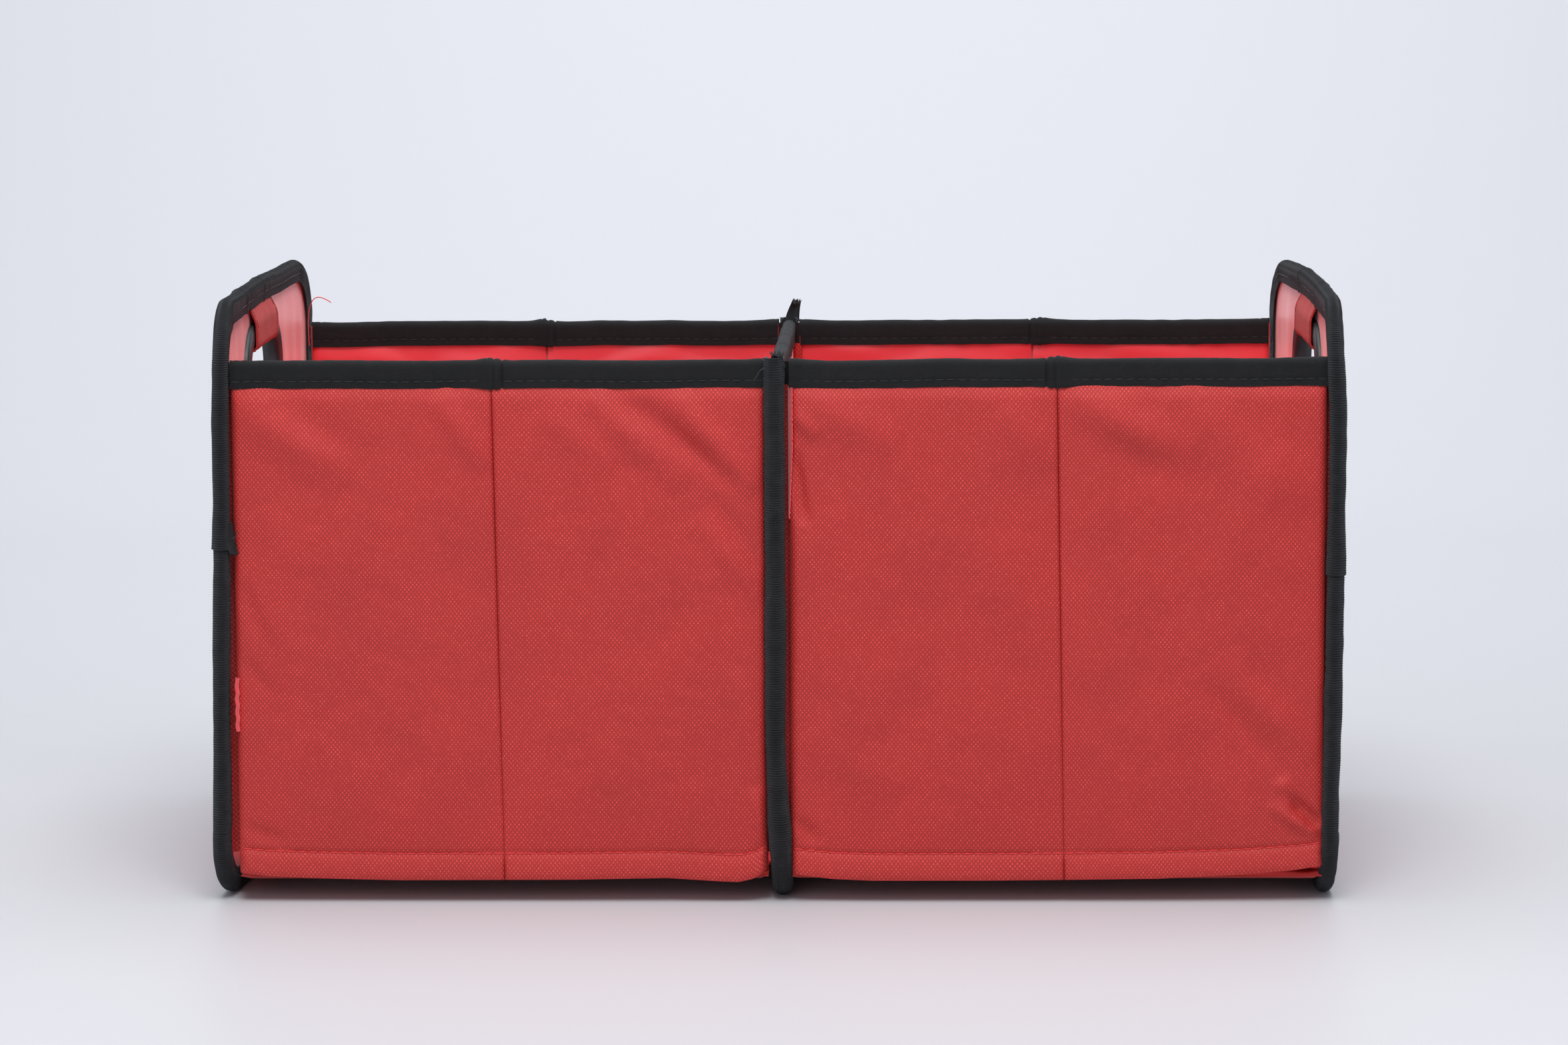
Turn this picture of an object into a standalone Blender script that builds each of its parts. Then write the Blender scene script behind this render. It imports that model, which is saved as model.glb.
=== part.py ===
"""Folding storage box with two open compartments and a handle hole in each end panel.

Two end panels and a divider stand on the floor. Between them run four walls, each of two stiffened
halves that fold inwards like an accordion, while the base boards fold up against the panels. The
origin is on the floor under the box's centre: X runs along the box, -Y is its front and Z is up.
"""
import math

import bmesh
import bpy
from mathutils import Matrix, Vector

MM = 0.001

# Overall sizes
COMPARTMENT_LENGTH = 289.4 * MM
PANEL_DEPTH = 320.0 * MM
END_HEIGHT = 326.0 * MM
WALL_DROP = 35.7 * MM
WALL_BOTTOM = 14.0 * MM
WALL_SETBACK = 6.6 * MM
HEM_TOP = 31.5 * MM

# Layers that the panels and walls are sewn from
FABRIC = 0.6 * MM
HEM_FABRIC = 1.2 * MM
FLOOR_FABRIC = 0.8 * MM
END_BOARD = 2.0 * MM
DIVIDER_BOARD = 3.0 * MM
WALL_BOARD = 2.0 * MM
BASE_BOARD = 3.0 * MM
GAP = 0.3 * MM

# Binding tapes, folded over the raw edges
END_TAPE = 2.6 * MM
DIVIDER_TAPE = 3.1 * MM
WALL_TAPE = 1.2 * MM
PANEL_TAPE_REACH = 13.0 * MM
WALL_TAPE_REACH = 13.9 * MM
DIVIDER_TAPE_RISE = 2.5 * MM
TAPE_ROUND = 2.6 * MM
WALL_TAPE_ROUND = 1.9 * MM

# Corners
END_CORNER = 38.0 * MM
DIVIDER_CORNER = 30.0 * MM
BOARD_CORNER = 4.0 * MM
SLEEVE_ROUND = 0.5 * MM

# Moulded handle frames, one shell on each face of an end panel
GRIP_LENGTH = 100.0 * MM
GRIP_HEIGHT = 34.0 * MM
GRIP_DROP = 52.0 * MM
FRAME_RIM = 13.0 * MM
FRAME_RIM_THICKNESS = 2.9 * MM
FRAME_TUBE = 1.6 * MM
FRAME_ROUND = 1.4 * MM

# Fabric wrap sewn round the grip above each handle hole
WRAP_WIDTH = 75.0 * MM
WRAP_FABRIC = 1.2 * MM
WRAP_DROP = 1.3 * MM
WRAP_BEND = 3.5 * MM
WRAP_SHOULDER = 4.0 * MM

# Folding: clearance at each hinge line, and room left between the folded layers
HINGE_CLEAR = 0.3 * MM
FOLD_ROOM = 2.0 * MM
BASE_SIDE_CLEAR = 4.5 * MM
BASE_TIP_GAP = 20.0 * MM
BASE_TIP_WIDTH = 12.0 * MM
BASE_NOTCH_WIDTH = 15.0 * MM
BASE_NOTCH_DEPTH = 3.6 * MM

# Points on each rounded corner
PANEL_CORNER_STEPS = 7
GRIP_CORNER_STEPS = 6
SECTION_STEPS = 3
SAME_POINT = 0.01 * MM
SAME_PLANE = math.radians(0.1)
SMOOTH_ANGLE = math.radians(35)
AXIS_MARK = 20.0 * MM

# Sizes that follow
half_divider = DIVIDER_BOARD / 2 + GAP + FABRIC
half_end = END_BOARD / 2 + GAP + FABRIC
divider_bound = half_divider + GAP + DIVIDER_TAPE
end_bound = half_end + GAP + END_TAPE
end_middle = half_divider + COMPARTMENT_LENGTH + half_end
end_face = end_middle - half_end
grip_centre = END_HEIGHT - GRIP_DROP
wall_top = END_HEIGHT - WALL_DROP
half_wall = WALL_BOARD / 2 + GAP + FABRIC
wall_bound = half_wall + GAP + WALL_TAPE
wall_outermost = PANEL_DEPTH / 2 - WALL_SETBACK
wall_middle = wall_outermost - wall_bound
wall_innermost = wall_middle - wall_bound
sleeve_top = wall_top - WALL_TAPE - GAP
floor_bottom = PANEL_TAPE_REACH + GAP
floor_top = floor_bottom + FLOOR_FABRIC
base_bottom = floor_top + GAP
base_top = base_bottom + BASE_BOARD
frame_face = half_end + GAP + FRAME_RIM_THICKNESS
wrap_offset = frame_face + GAP + WRAP_FABRIC / 2
handle_stack = wrap_offset + WRAP_FABRIC / 2 - half_end
base_stack = GAP + BASE_BOARD

# Hinge lines, as distances from the box's middle planes
inner_hinge = half_divider + base_stack + FOLD_ROOM
outer_hinge = end_face - max(handle_stack, base_stack) - FOLD_ROOM
middle_hinge = (inner_hinge + outer_hinge) / 2
corner_hinge_depth = wall_innermost - HINGE_CLEAR
middle_hinge_depth = wall_outermost + HINGE_CLEAR
base_hinge_height = base_top + HINGE_CLEAR
base_inner_hinge = half_divider + GAP
base_outer_hinge = end_face - GAP
base_root = wall_innermost - BASE_SIDE_CLEAR
base_room = (base_outer_hinge - base_inner_hinge - BASE_TIP_GAP) / 2
base_mitre_reach = base_root - BASE_TIP_WIDTH / 2
base_reach = min(base_room, base_mitre_reach)

# Planes in which outlines and paths are drawn: along Y and Z, along X and Z, and flat
ACROSS = Matrix(((0, 0, 1), (1, 0, 0), (0, 1, 0))).to_4x4()
ALONG = Matrix(((1, 0, 0), (0, 0, -1), (0, 1, 0))).to_4x4()
FLAT = Matrix.Identity(4)

LEFT, RIGHT = -1, 1
FRONT, BACK = -1, 1
SIDE_NAMES = {LEFT: "left", RIGHT: "right"}
FACE_NAMES = {FRONT: "front", BACK: "back"}


def clear_scene():
    """Remove every object, so that the file starts empty."""
    for old in list(bpy.data.objects):
        bpy.data.objects.remove(old, do_unlink=True)


def make_collection(name):
    """Add a collection to the scene."""
    collection = bpy.data.collections.new(name)
    bpy.context.scene.collection.children.link(collection)
    return collection


def make_material(name, colour, roughness, metallic=0.0):
    """Add a Principled material."""
    material = bpy.data.materials.new(name)
    material.use_nodes = True
    shader = material.node_tree.nodes["Principled BSDF"]
    shader.inputs["Base Color"].default_value = (*colour, 1.0)
    shader.inputs["Roughness"].default_value = roughness
    shader.inputs["Metallic"].default_value = metallic
    return material


clear_scene()
BOX = make_collection("folding_storage_box")
CUTTERS = make_collection("cutters")

OUTER_FABRIC = make_material("red_woven_fabric", (0.52, 0.045, 0.045), 0.75)
LINING_FABRIC = make_material("red_coated_lining", (0.48, 0.022, 0.035), 0.45)
TAPE = make_material("black_binding_tape", (0.012, 0.013, 0.015), 0.8)
PLASTIC = make_material("black_moulded_plastic", (0.03, 0.035, 0.04), 0.35)
STIFFENER = make_material("grey_stiffener_board", (0.30, 0.29, 0.27), 0.7)


def rounded_corner(before, corner, after, radius, steps):
    """Points of the arc that rounds one corner of an outline."""
    if radius <= 0:
        return [corner]
    back = (before - corner).normalized()
    ahead = (after - corner).normalized()
    half_angle = back.angle(ahead) / 2
    centre = corner + (back + ahead).normalized() * radius / math.sin(half_angle)
    start = corner + back * radius / math.tan(half_angle) - centre
    turn = math.pi - 2 * half_angle
    if back.x * ahead.y - back.y * ahead.x > 0:
        turn = -turn
    turns = [Matrix.Rotation(turn * step / steps, 2) for step in range(steps + 1)]
    return [centre + rotation @ start for rotation in turns]


def rounded_outline(corners, steps):
    """A closed outline from (x, y, radius) corners, with no point twice where two arcs meet."""
    places = [Vector(corner[:2]) for corner in corners]
    outline = []
    for index, place in enumerate(places):
        after = places[(index + 1) % len(places)]
        outline += rounded_corner(places[index - 1], place, after, corners[index][2], steps)
    apart = [(point - outline[index - 1]).length > SAME_POINT for index, point in enumerate(outline)]
    return [point for point, kept in zip(outline, apart) if kept]


def rounded_path(corners, steps):
    """An open path from (x, y, radius) corners, whose ends stay where they are."""
    places = [Vector(corner[:2]) for corner in corners]
    path = [places[0]]
    for index in range(1, len(places) - 1):
        before, place, after = places[index - 1:index + 2]
        path += rounded_corner(before, place, after, corners[index][2], steps)
    return path + [places[-1]]


def flat_curve(name, points, closed):
    """A 2D curve object through the points."""
    data = bpy.data.curves.new(name, "CURVE")
    data.dimensions = "2D"
    data.fill_mode = "NONE"
    spline = data.splines.new("POLY")
    spline.points.add(len(points) - 1)
    for point, place in zip(spline.points, points):
        point.co = (place[0], place[1], 0.0, 1.0)
    spline.use_cyclic_u = closed
    curve = bpy.data.objects.new(name, data)
    BOX.objects.link(curve)
    return curve


def curve_to_mesh(curve, name, placing):
    """Turn a curve into a welded mesh object, laid in its plane."""
    bpy.context.view_layer.update()
    graph = bpy.context.evaluated_depsgraph_get()
    mesh = bpy.data.meshes.new_from_object(curve.evaluated_get(graph))
    work = bmesh.new()
    work.from_mesh(mesh)
    bmesh.ops.remove_doubles(work, verts=work.verts, dist=SAME_POINT)
    bmesh.ops.dissolve_limit(work, angle_limit=SAME_PLANE, verts=work.verts, edges=work.edges)
    bmesh.ops.recalc_face_normals(work, faces=work.faces)
    work.to_mesh(mesh)
    work.free()
    mesh.transform(placing)
    bpy.data.curves.remove(curve.data)
    solid = bpy.data.objects.new(name, mesh)
    solid.data.name = name
    BOX.objects.link(solid)
    return solid


def make_plate(name, outline, thickness, plane, offset):
    """A flat plate with the outline, centred at the offset along its plane's normal."""
    curve = flat_curve(name, outline, closed=True)
    curve.data.fill_mode = "BOTH"
    curve.data.extrude = thickness / 2
    return curve_to_mesh(curve, name, plane @ Matrix.Translation((0, 0, offset)))


def make_sweep(name, path, closed, section, plane, offset):
    """A section swept along a path. The section's x points to the path's inner side."""
    profile = flat_curve(name + "_section", section, closed=True)
    curve = flat_curve(name, path, closed)
    curve.data.bevel_mode = "OBJECT"
    curve.data.bevel_object = profile
    curve.data.use_fill_caps = not closed
    solid = curve_to_mesh(curve, name, plane @ Matrix.Translation((0, 0, offset)))
    bpy.data.curves.remove(profile.data)
    solid.data.shade_smooth()
    solid.data.set_sharp_from_angle(angle=SMOOTH_ANGLE)
    return solid


def make_block(name, low, high):
    """A block between two corners."""
    bpy.ops.mesh.primitive_cube_add(size=1)
    block = bpy.context.object
    block.name = name
    block.data.name = name
    low, high = Vector(low), Vector(high)
    placing = Matrix.Translation((low + high) / 2)
    block.data.transform(placing @ Matrix.Diagonal((*(high - low), 1)))
    for collection in list(block.users_collection):
        collection.objects.unlink(block)
    BOX.objects.link(block)
    return block


def cut(solid, cutter):
    """Take the cutter away from the solid."""
    change = solid.modifiers.new("Cut " + cutter.name, "BOOLEAN")
    change.operation = "DIFFERENCE"
    change.object = cutter
    cutter.hide_render = True
    cutter.display_type = "WIRE"
    BOX.objects.unlink(cutter)
    CUTTERS.objects.link(cutter)


def soften(solid, width):
    """Round the sharp edges of a sewn piece."""
    bevel = solid.modifiers.new("Soft edges", "BEVEL")
    bevel.width = width
    bevel.segments = 2
    bevel.limit_method = "ANGLE"
    bevel.angle_limit = SMOOTH_ANGLE


def channel_section(inside, tape, reach, rounding):
    """The U section of a folded tape: its crown at x = 0, its two legs towards +x."""
    outer = inside / 2 + tape
    corners = [
        (reach, -outer, 0),
        (0, -outer, rounding),
        (0, outer, rounding),
        (reach, outer, 0),
        (reach, inside / 2, 0),
        (tape, inside / 2, 0),
        (tape, -inside / 2, 0),
        (reach, -inside / 2, 0),
    ]
    return rounded_outline(corners, SECTION_STEPS)


def end_outline(inset):
    """An end panel's outline, this far inside its bound edge."""
    depth = PANEL_DEPTH / 2 - inset
    low, high = inset, END_HEIGHT - inset
    radius = END_CORNER - inset
    corners = [
        (-depth, low, radius),
        (depth, low, radius),
        (depth, high, radius),
        (-depth, high, radius),
    ]
    return rounded_outline(corners, PANEL_CORNER_STEPS)


def divider_outline(inset, top):
    """The divider's outline, rounded at its feet and square at the top."""
    depth = PANEL_DEPTH / 2 - inset
    radius = DIVIDER_CORNER - inset
    corners = [
        (-depth, inset, radius),
        (depth, inset, radius),
        (depth, top, 0),
        (-depth, top, 0),
    ]
    return rounded_outline(corners, PANEL_CORNER_STEPS)


def grip_outline(offset):
    """The handle hole's round-ended outline, made larger by the offset."""
    length = GRIP_LENGTH / 2 + offset
    height = GRIP_HEIGHT / 2 + offset
    low, high = grip_centre - height, grip_centre + height
    corners = [
        (-length, low, height),
        (length, low, height),
        (length, high, height),
        (-length, high, height),
    ]
    return rounded_outline(corners, GRIP_CORNER_STEPS)


def make_divider():
    """The divider: a board between two linings, bound along its feet, its ends and its top."""
    edge = DIVIDER_TAPE + GAP
    layer = edge + FABRIC + GAP
    thickness = 2 * half_divider
    cover_outline = divider_outline(edge, sleeve_top)
    cover = make_plate("divider_cover", cover_outline, thickness, ACROSS, 0)
    pocket_outline = divider_outline(edge + FABRIC, sleeve_top + FABRIC)
    cut(cover, make_plate("divider_pocket", pocket_outline, thickness, ACROSS, FABRIC))
    lining_outline = divider_outline(layer, sleeve_top)
    lining_place = half_divider - FABRIC / 2
    lining = make_plate("divider_lining", lining_outline, FABRIC, ACROSS, lining_place)
    board_outline = divider_outline(layer, sleeve_top - GAP)
    board = make_plate("divider_board", board_outline, DIVIDER_BOARD, ACROSS, 0)
    inside = thickness + 2 * GAP
    edge_section = channel_section(inside, DIVIDER_TAPE, PANEL_TAPE_REACH, TAPE_ROUND)
    depth = PANEL_DEPTH / 2
    edge_top = wall_top + DIVIDER_TAPE_RISE
    edge_corners = [
        (depth, edge_top, 0),
        (depth, 0, DIVIDER_CORNER),
        (-depth, 0, DIVIDER_CORNER),
        (-depth, edge_top, 0),
    ]
    edge_path = rounded_path(edge_corners, PANEL_CORNER_STEPS)
    edge_tape = make_sweep("divider_edge_binding", edge_path, False, edge_section, ACROSS, 0)
    top_section = channel_section(inside, WALL_TAPE, PANEL_TAPE_REACH, WALL_TAPE_ROUND)
    run = depth - PANEL_TAPE_REACH - GAP
    top_path = [(-run, wall_top), (run, wall_top)]
    top_tape = make_sweep("divider_top_binding", top_path, False, top_section, ACROSS, 0)
    return [
        (cover, LINING_FABRIC),
        (lining, LINING_FABRIC),
        (board, STIFFENER),
        (edge_tape, TAPE),
        (top_tape, TAPE),
    ]


def make_end_panel(side):
    """An end panel: outer cover, board, lining and the tape bound all round."""
    name = "end_" + SIDE_NAMES[side]
    middle = side * end_middle
    edge = END_TAPE + GAP
    layer = edge + FABRIC + GAP
    hole = grip_outline(FRAME_TUBE + GAP)
    thickness = 2 * half_end
    cover = make_plate(name + "_cover", end_outline(edge), thickness, ACROSS, middle)
    pocket_place = middle - side * FABRIC
    pocket_outline = end_outline(edge + FABRIC)
    cut(cover, make_plate(name + "_pocket", pocket_outline, thickness, ACROSS, pocket_place))
    lining_place = middle - side * (half_end - FABRIC / 2)
    lining = make_plate(name + "_lining", end_outline(layer), FABRIC, ACROSS, lining_place)
    board = make_plate(name + "_board", end_outline(layer), END_BOARD, ACROSS, middle)
    for sheet in (cover, lining, board):
        cut(sheet, make_plate(sheet.name + "_hole", hole, 2 * thickness, ACROSS, middle))
    section = channel_section(thickness + 2 * GAP, END_TAPE, PANEL_TAPE_REACH, TAPE_ROUND)
    tape = make_sweep(name + "_binding", end_outline(0), True, section, ACROSS, middle)
    return [(cover, OUTER_FABRIC), (lining, LINING_FABRIC), (board, STIFFENER), (tape, TAPE)]


def make_handle(side):
    """The two moulded shells of a handle frame, clipped together through the panel."""
    name = SIDE_NAMES[side]
    inner_corners = [
        (0, -frame_face, FRAME_ROUND),
        (FRAME_TUBE, -frame_face, 0),
        (FRAME_TUBE, half_end + GAP, 0),
        (FRAME_RIM, half_end + GAP, 0),
        (FRAME_RIM, frame_face, FRAME_ROUND),
        (0, frame_face, FRAME_ROUND),
    ]
    outer_corners = [
        (FRAME_TUBE + GAP, -half_end - GAP, 0),
        (FRAME_TUBE + GAP, -frame_face, 0),
        (FRAME_RIM, -frame_face, FRAME_ROUND),
        (FRAME_RIM, -half_end - GAP, 0),
    ]
    shells = []
    for shell, corners in (("inner", inner_corners), ("outer", outer_corners)):
        shape = rounded_outline(corners, SECTION_STEPS)
        section = [(-out, -side * through) for out, through in shape]
        node = "handle_frame_" + shell + "_" + name
        ring = make_sweep(node, grip_outline(0), True, section, ACROSS, side * end_middle)
        shells.append((ring, PLASTIC))
    return shells


def make_grip_wrap(side):
    """The fabric wrap round the grip: down inside the panel, through the hole and up outside."""
    flat = half_end + GAP + WRAP_FABRIC / 2
    top = END_HEIGHT - PANEL_TAPE_REACH - GAP
    rim_top = grip_centre + GRIP_HEIGHT / 2 + FRAME_RIM
    shoulder = rim_top + WRAP_SHOULDER
    bottom = grip_centre + GRIP_HEIGHT / 2 - WRAP_DROP - WRAP_FABRIC / 2
    inside = [
        (-flat, top, 0),
        (-flat, shoulder, WRAP_BEND),
        (-wrap_offset, rim_top + GAP, WRAP_BEND / 2),
        (-wrap_offset, bottom, WRAP_BEND),
    ]
    outside = [(-x, z, radius) for x, z, radius in reversed(inside)]
    bends = rounded_path(inside + outside, SECTION_STEPS)
    path = [(side * (end_middle + place.x), place.y) for place in bends]
    half, edge = WRAP_FABRIC / 2, WRAP_WIDTH / 2
    section = [(-half, -edge), (half, -edge), (half, edge), (-half, edge)]
    wrap = make_sweep("grip_wrap_" + SIDE_NAMES[side], path, False, section, ALONG, 0)
    return [(wrap, OUTER_FABRIC)]


def make_wall_half(side, face, part):
    """One stiffened half of a wall: a sewn sleeve with its hem, lining, board and top tape."""
    name = FACE_NAMES[face] + "_" + part + "_" + SIDE_NAMES[side]
    if part == "inner":
        near, far = divider_bound + GAP, middle_hinge - HINGE_CLEAR
    else:
        near, far = middle_hinge + HINGE_CLEAR, end_middle - end_bound - GAP
    low, high = sorted((side * near, side * far))
    outside, inside = wall_middle + half_wall, wall_middle - half_wall
    hem_inside = outside - HEM_FABRIC
    sleeve_section = [
        (face * outside, WALL_BOTTOM),
        (face * outside, sleeve_top),
        (face * inside, sleeve_top),
        (face * inside, HEM_TOP),
        (face * hem_inside, HEM_TOP - (hem_inside - inside)),
        (face * hem_inside, WALL_BOTTOM),
    ]
    sleeve = make_plate(name + "_cover", sleeve_section, far - near, ACROSS, (low + high) / 2)
    soften(sleeve, SLEEVE_ROUND)
    pocket_low = HEM_TOP + FABRIC
    faces = sorted((face * (outside - FABRIC), face * (inside - FABRIC)))
    pocket = make_block(
        name + "_pocket",
        (low + FABRIC, faces[0], pocket_low),
        (high - FABRIC, faces[1], sleeve_top + FABRIC),
    )
    cut(sleeve, pocket)
    layer = FABRIC + GAP
    lining_faces = sorted((face * inside, face * (inside + FABRIC)))
    lining = make_block(
        name + "_lining",
        (low + layer, lining_faces[0], pocket_low + GAP),
        (high - layer, lining_faces[1], sleeve_top),
    )
    board_corners = [
        (low + layer, pocket_low + GAP, BOARD_CORNER),
        (high - layer, pocket_low + GAP, BOARD_CORNER),
        (high - layer, sleeve_top - GAP, BOARD_CORNER),
        (low + layer, sleeve_top - GAP, BOARD_CORNER),
    ]
    board_outline = rounded_outline(board_corners, SECTION_STEPS)
    board = make_plate(name + "_board", board_outline, WALL_BOARD, ALONG, -face * wall_middle)
    inside_tape = 2 * (half_wall + GAP)
    section = channel_section(inside_tape, WALL_TAPE, WALL_TAPE_REACH, WALL_TAPE_ROUND)
    path = [(low, wall_top), (high, wall_top)]
    tape = make_sweep(name + "_binding", path, False, section, ALONG, -face * wall_middle)
    return [(sleeve, OUTER_FABRIC), (lining, LINING_FABRIC), (board, STIFFENER), (tape, TAPE)]


def make_base_board(side, part):
    """A base board, mitred so that it clears the walls as both fold inwards."""
    if part == "inner":
        hinge, direction = base_inner_hinge, 1
    else:
        hinge, direction = base_outer_hinge, -1
    half_edge = [
        (0, base_root - BASE_NOTCH_WIDTH),
        (BASE_NOTCH_DEPTH, base_root - BASE_NOTCH_WIDTH),
        (BASE_NOTCH_DEPTH, base_root - BASE_NOTCH_DEPTH),
        (base_reach, base_root - base_reach),
    ]
    edge = half_edge + [(out, -width) for out, width in reversed(half_edge)]
    outline = [(side * (hinge + direction * out), width) for out, width in edge]
    name = "base_board_" + part + "_" + SIDE_NAMES[side]
    board = make_plate(name, outline, BASE_BOARD, FLAT, (base_bottom + base_top) / 2)
    return [(board, LINING_FABRIC)]


def make_floor_cloth(side):
    """The compartment's fabric floor, sewn to the panels' feet and the walls' hems."""
    low, high = sorted((side * (divider_bound + GAP), side * (end_middle - end_bound - GAP)))
    width = wall_middle + half_wall - HEM_FABRIC - GAP
    corners = (low, -width, floor_bottom), (high, width, floor_top)
    cloth = make_block("floor_cloth_" + SIDE_NAMES[side], *corners)
    return [(cloth, OUTER_FABRIC)]


def add_axis(name, parent, place):
    """An empty on a hinge line, which carries the pieces that turn about it."""
    axis = bpy.data.objects.new("axis_" + name, None)
    axis.empty_display_size = AXIS_MARK
    BOX.objects.link(axis)
    axis.parent = parent
    base = parent.matrix_world.translation if parent else Vector()
    axis.location = Vector(place) - base
    bpy.context.view_layer.update()
    return axis


def carry(pieces, axis):
    """Give the pieces their materials and hang them, with their cutters, on a hinge line."""
    place = axis.matrix_world.translation
    for solid, material in pieces:
        solid.data.materials.clear()
        solid.data.materials.append(material)
        cutters = [change.object for change in solid.modifiers if change.type == "BOOLEAN"]
        for carried in [solid] + cutters:
            carried.data.transform(Matrix.Translation(-place))
            carried.parent = axis


def build_side(side, divider_axis):
    """One compartment: its walls, its end panel and its base boards, each on its hinge line."""
    name = SIDE_NAMES[side]
    end_axis = None
    for face in (FRONT, BACK):
        face_name = FACE_NAMES[face]
        corner = (side * inner_hinge, face * corner_hinge_depth, 0)
        middle = (side * middle_hinge, face * middle_hinge_depth, 0)
        inner_axis = add_axis(face_name + "_inner_" + name, divider_axis, corner)
        outer_axis = add_axis(face_name + "_outer_" + name, inner_axis, middle)
        carry(make_wall_half(side, face, "inner"), inner_axis)
        carry(make_wall_half(side, face, "outer"), outer_axis)
        if face == FRONT:
            end_corner = (side * outer_hinge, face * corner_hinge_depth, 0)
            end_axis = add_axis("end_" + name, outer_axis, end_corner)
    carry(make_end_panel(side) + make_handle(side) + make_grip_wrap(side), end_axis)
    inner_line = (side * base_inner_hinge, 0, base_hinge_height)
    outer_line = (side * base_outer_hinge, 0, base_hinge_height)
    carry(make_base_board(side, "inner"), add_axis("base_inner_" + name, divider_axis, inner_line))
    carry(make_base_board(side, "outer"), add_axis("base_outer_" + name, end_axis, outer_line))
    carry(make_floor_cloth(side), divider_axis)


def build():
    """The whole box, standing open."""
    divider_axis = add_axis("divider", None, (0, 0, 0))
    carry(make_divider(), divider_axis)
    for side in (LEFT, RIGHT):
        build_side(side, divider_axis)
    bpy.context.view_layer.update()


build()
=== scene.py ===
import math

import bpy
import numpy as np
from bpy.props import FloatProperty, FloatVectorProperty, PointerProperty
from bpy.types import Operator, Panel, PropertyGroup
from mathutils import Matrix, Vector


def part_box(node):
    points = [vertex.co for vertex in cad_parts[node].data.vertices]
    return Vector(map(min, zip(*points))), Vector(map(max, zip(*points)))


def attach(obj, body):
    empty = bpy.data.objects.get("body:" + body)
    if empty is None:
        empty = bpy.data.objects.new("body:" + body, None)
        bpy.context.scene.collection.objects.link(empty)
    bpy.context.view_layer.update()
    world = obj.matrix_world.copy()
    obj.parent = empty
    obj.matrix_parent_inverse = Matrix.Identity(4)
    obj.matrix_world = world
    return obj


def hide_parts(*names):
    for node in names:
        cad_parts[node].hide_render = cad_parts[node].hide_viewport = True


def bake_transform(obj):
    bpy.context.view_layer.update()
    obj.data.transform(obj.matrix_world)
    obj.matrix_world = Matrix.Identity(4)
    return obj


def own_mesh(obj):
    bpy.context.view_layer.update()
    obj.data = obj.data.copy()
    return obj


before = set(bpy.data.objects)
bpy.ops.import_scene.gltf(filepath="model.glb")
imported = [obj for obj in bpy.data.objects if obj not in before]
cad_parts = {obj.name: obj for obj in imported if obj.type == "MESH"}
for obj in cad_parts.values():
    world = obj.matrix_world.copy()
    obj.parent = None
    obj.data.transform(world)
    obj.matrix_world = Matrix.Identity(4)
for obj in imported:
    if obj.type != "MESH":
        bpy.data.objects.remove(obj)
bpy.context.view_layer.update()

bl_info = {
    "name": "Folding Storage Box",
    "version": (1, 0, 0),
    "blender": (4, 5, 0),
    "location": "3D View > Sidebar > Storage Box",
    "description": "Dresses a folding storage box in cloth, tape, thread and moulded plastic",
    "category": "Object",
}

MM = 0.001
SIDES = {"left": -1, "right": 1}
FACES = {"front": -1, "back": 1}
HALVES = ("inner", "outer")
WALL_HALVES = [(side, face, half) for side in SIDES for face in FACES for half in HALVES]

# Sizes read from the frame
end_low, end_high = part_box("end_right_binding")
END_MIDDLE = (end_low.x + end_high.x) / 2
END_HALF = (end_high.x - end_low.x) / 2
PANEL_DEPTH = end_high.y
END_TOP = end_high.z
END_SHEET = (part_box("end_right_cover")[1].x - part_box("end_right_lining")[0].x) / 2
divider_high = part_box("divider_edge_binding")[1]
DIVIDER_HALF = divider_high.x
DIVIDER_TOP = divider_high.z
DIVIDER_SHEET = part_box("divider_cover")[1].x
sleeve_low, sleeve_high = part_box("front_inner_right_cover")
WALL_FACE = -sleeve_low.y
WALL_INSIDE = -sleeve_high.y
WALL_BOTTOM = sleeve_low.z
tape_low, tape_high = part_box("front_inner_right_binding")
WALL_TOP = tape_high.z
WALL_TAPE_EDGE = tape_low.z
WALL_MIDDLE = -(tape_low.y + tape_high.y) / 2
WALL_TAPE_HALF = (tape_high.y - tape_low.y) / 2
frame_low, frame_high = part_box("handle_frame_inner_right")
GRIP_CENTRE = (frame_low.z + frame_high.z) / 2

# Sizes that the frame doesn't give
END_CORNER = 38.0 * MM
DIVIDER_CORNER = 30.0 * MM
TAPE_REACH = 13.0 * MM
TAPE_THICKNESS = 0.9 * MM
TAPE_STANDS_OFF = 1.75 * MM
RIB_ROOM = 0.3 * MM
CLOTH_INSET = 4.5 * MM
OUTER_THICKNESS = 0.55 * MM
LINING_THICKNESS = 0.4 * MM
PANEL_CLOTH_THICKNESS = 0.5 * MM
TUCKED_BELOW_TOP = 2.5 * MM
FRAME_RIM = 13.0 * MM
GRIP_HEIGHT = (frame_high.z - frame_low.z) - 2 * FRAME_RIM
GRIP_LENGTH = (frame_high.y - frame_low.y) - 2 * FRAME_RIM
GRIP_STRAIGHT = (GRIP_LENGTH - GRIP_HEIGHT) / 2
HOLE_IN_CLOTH = GRIP_HEIGHT / 2 + 3 * MM
MIDDLE_SEAM = 146.4 * MM


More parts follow.
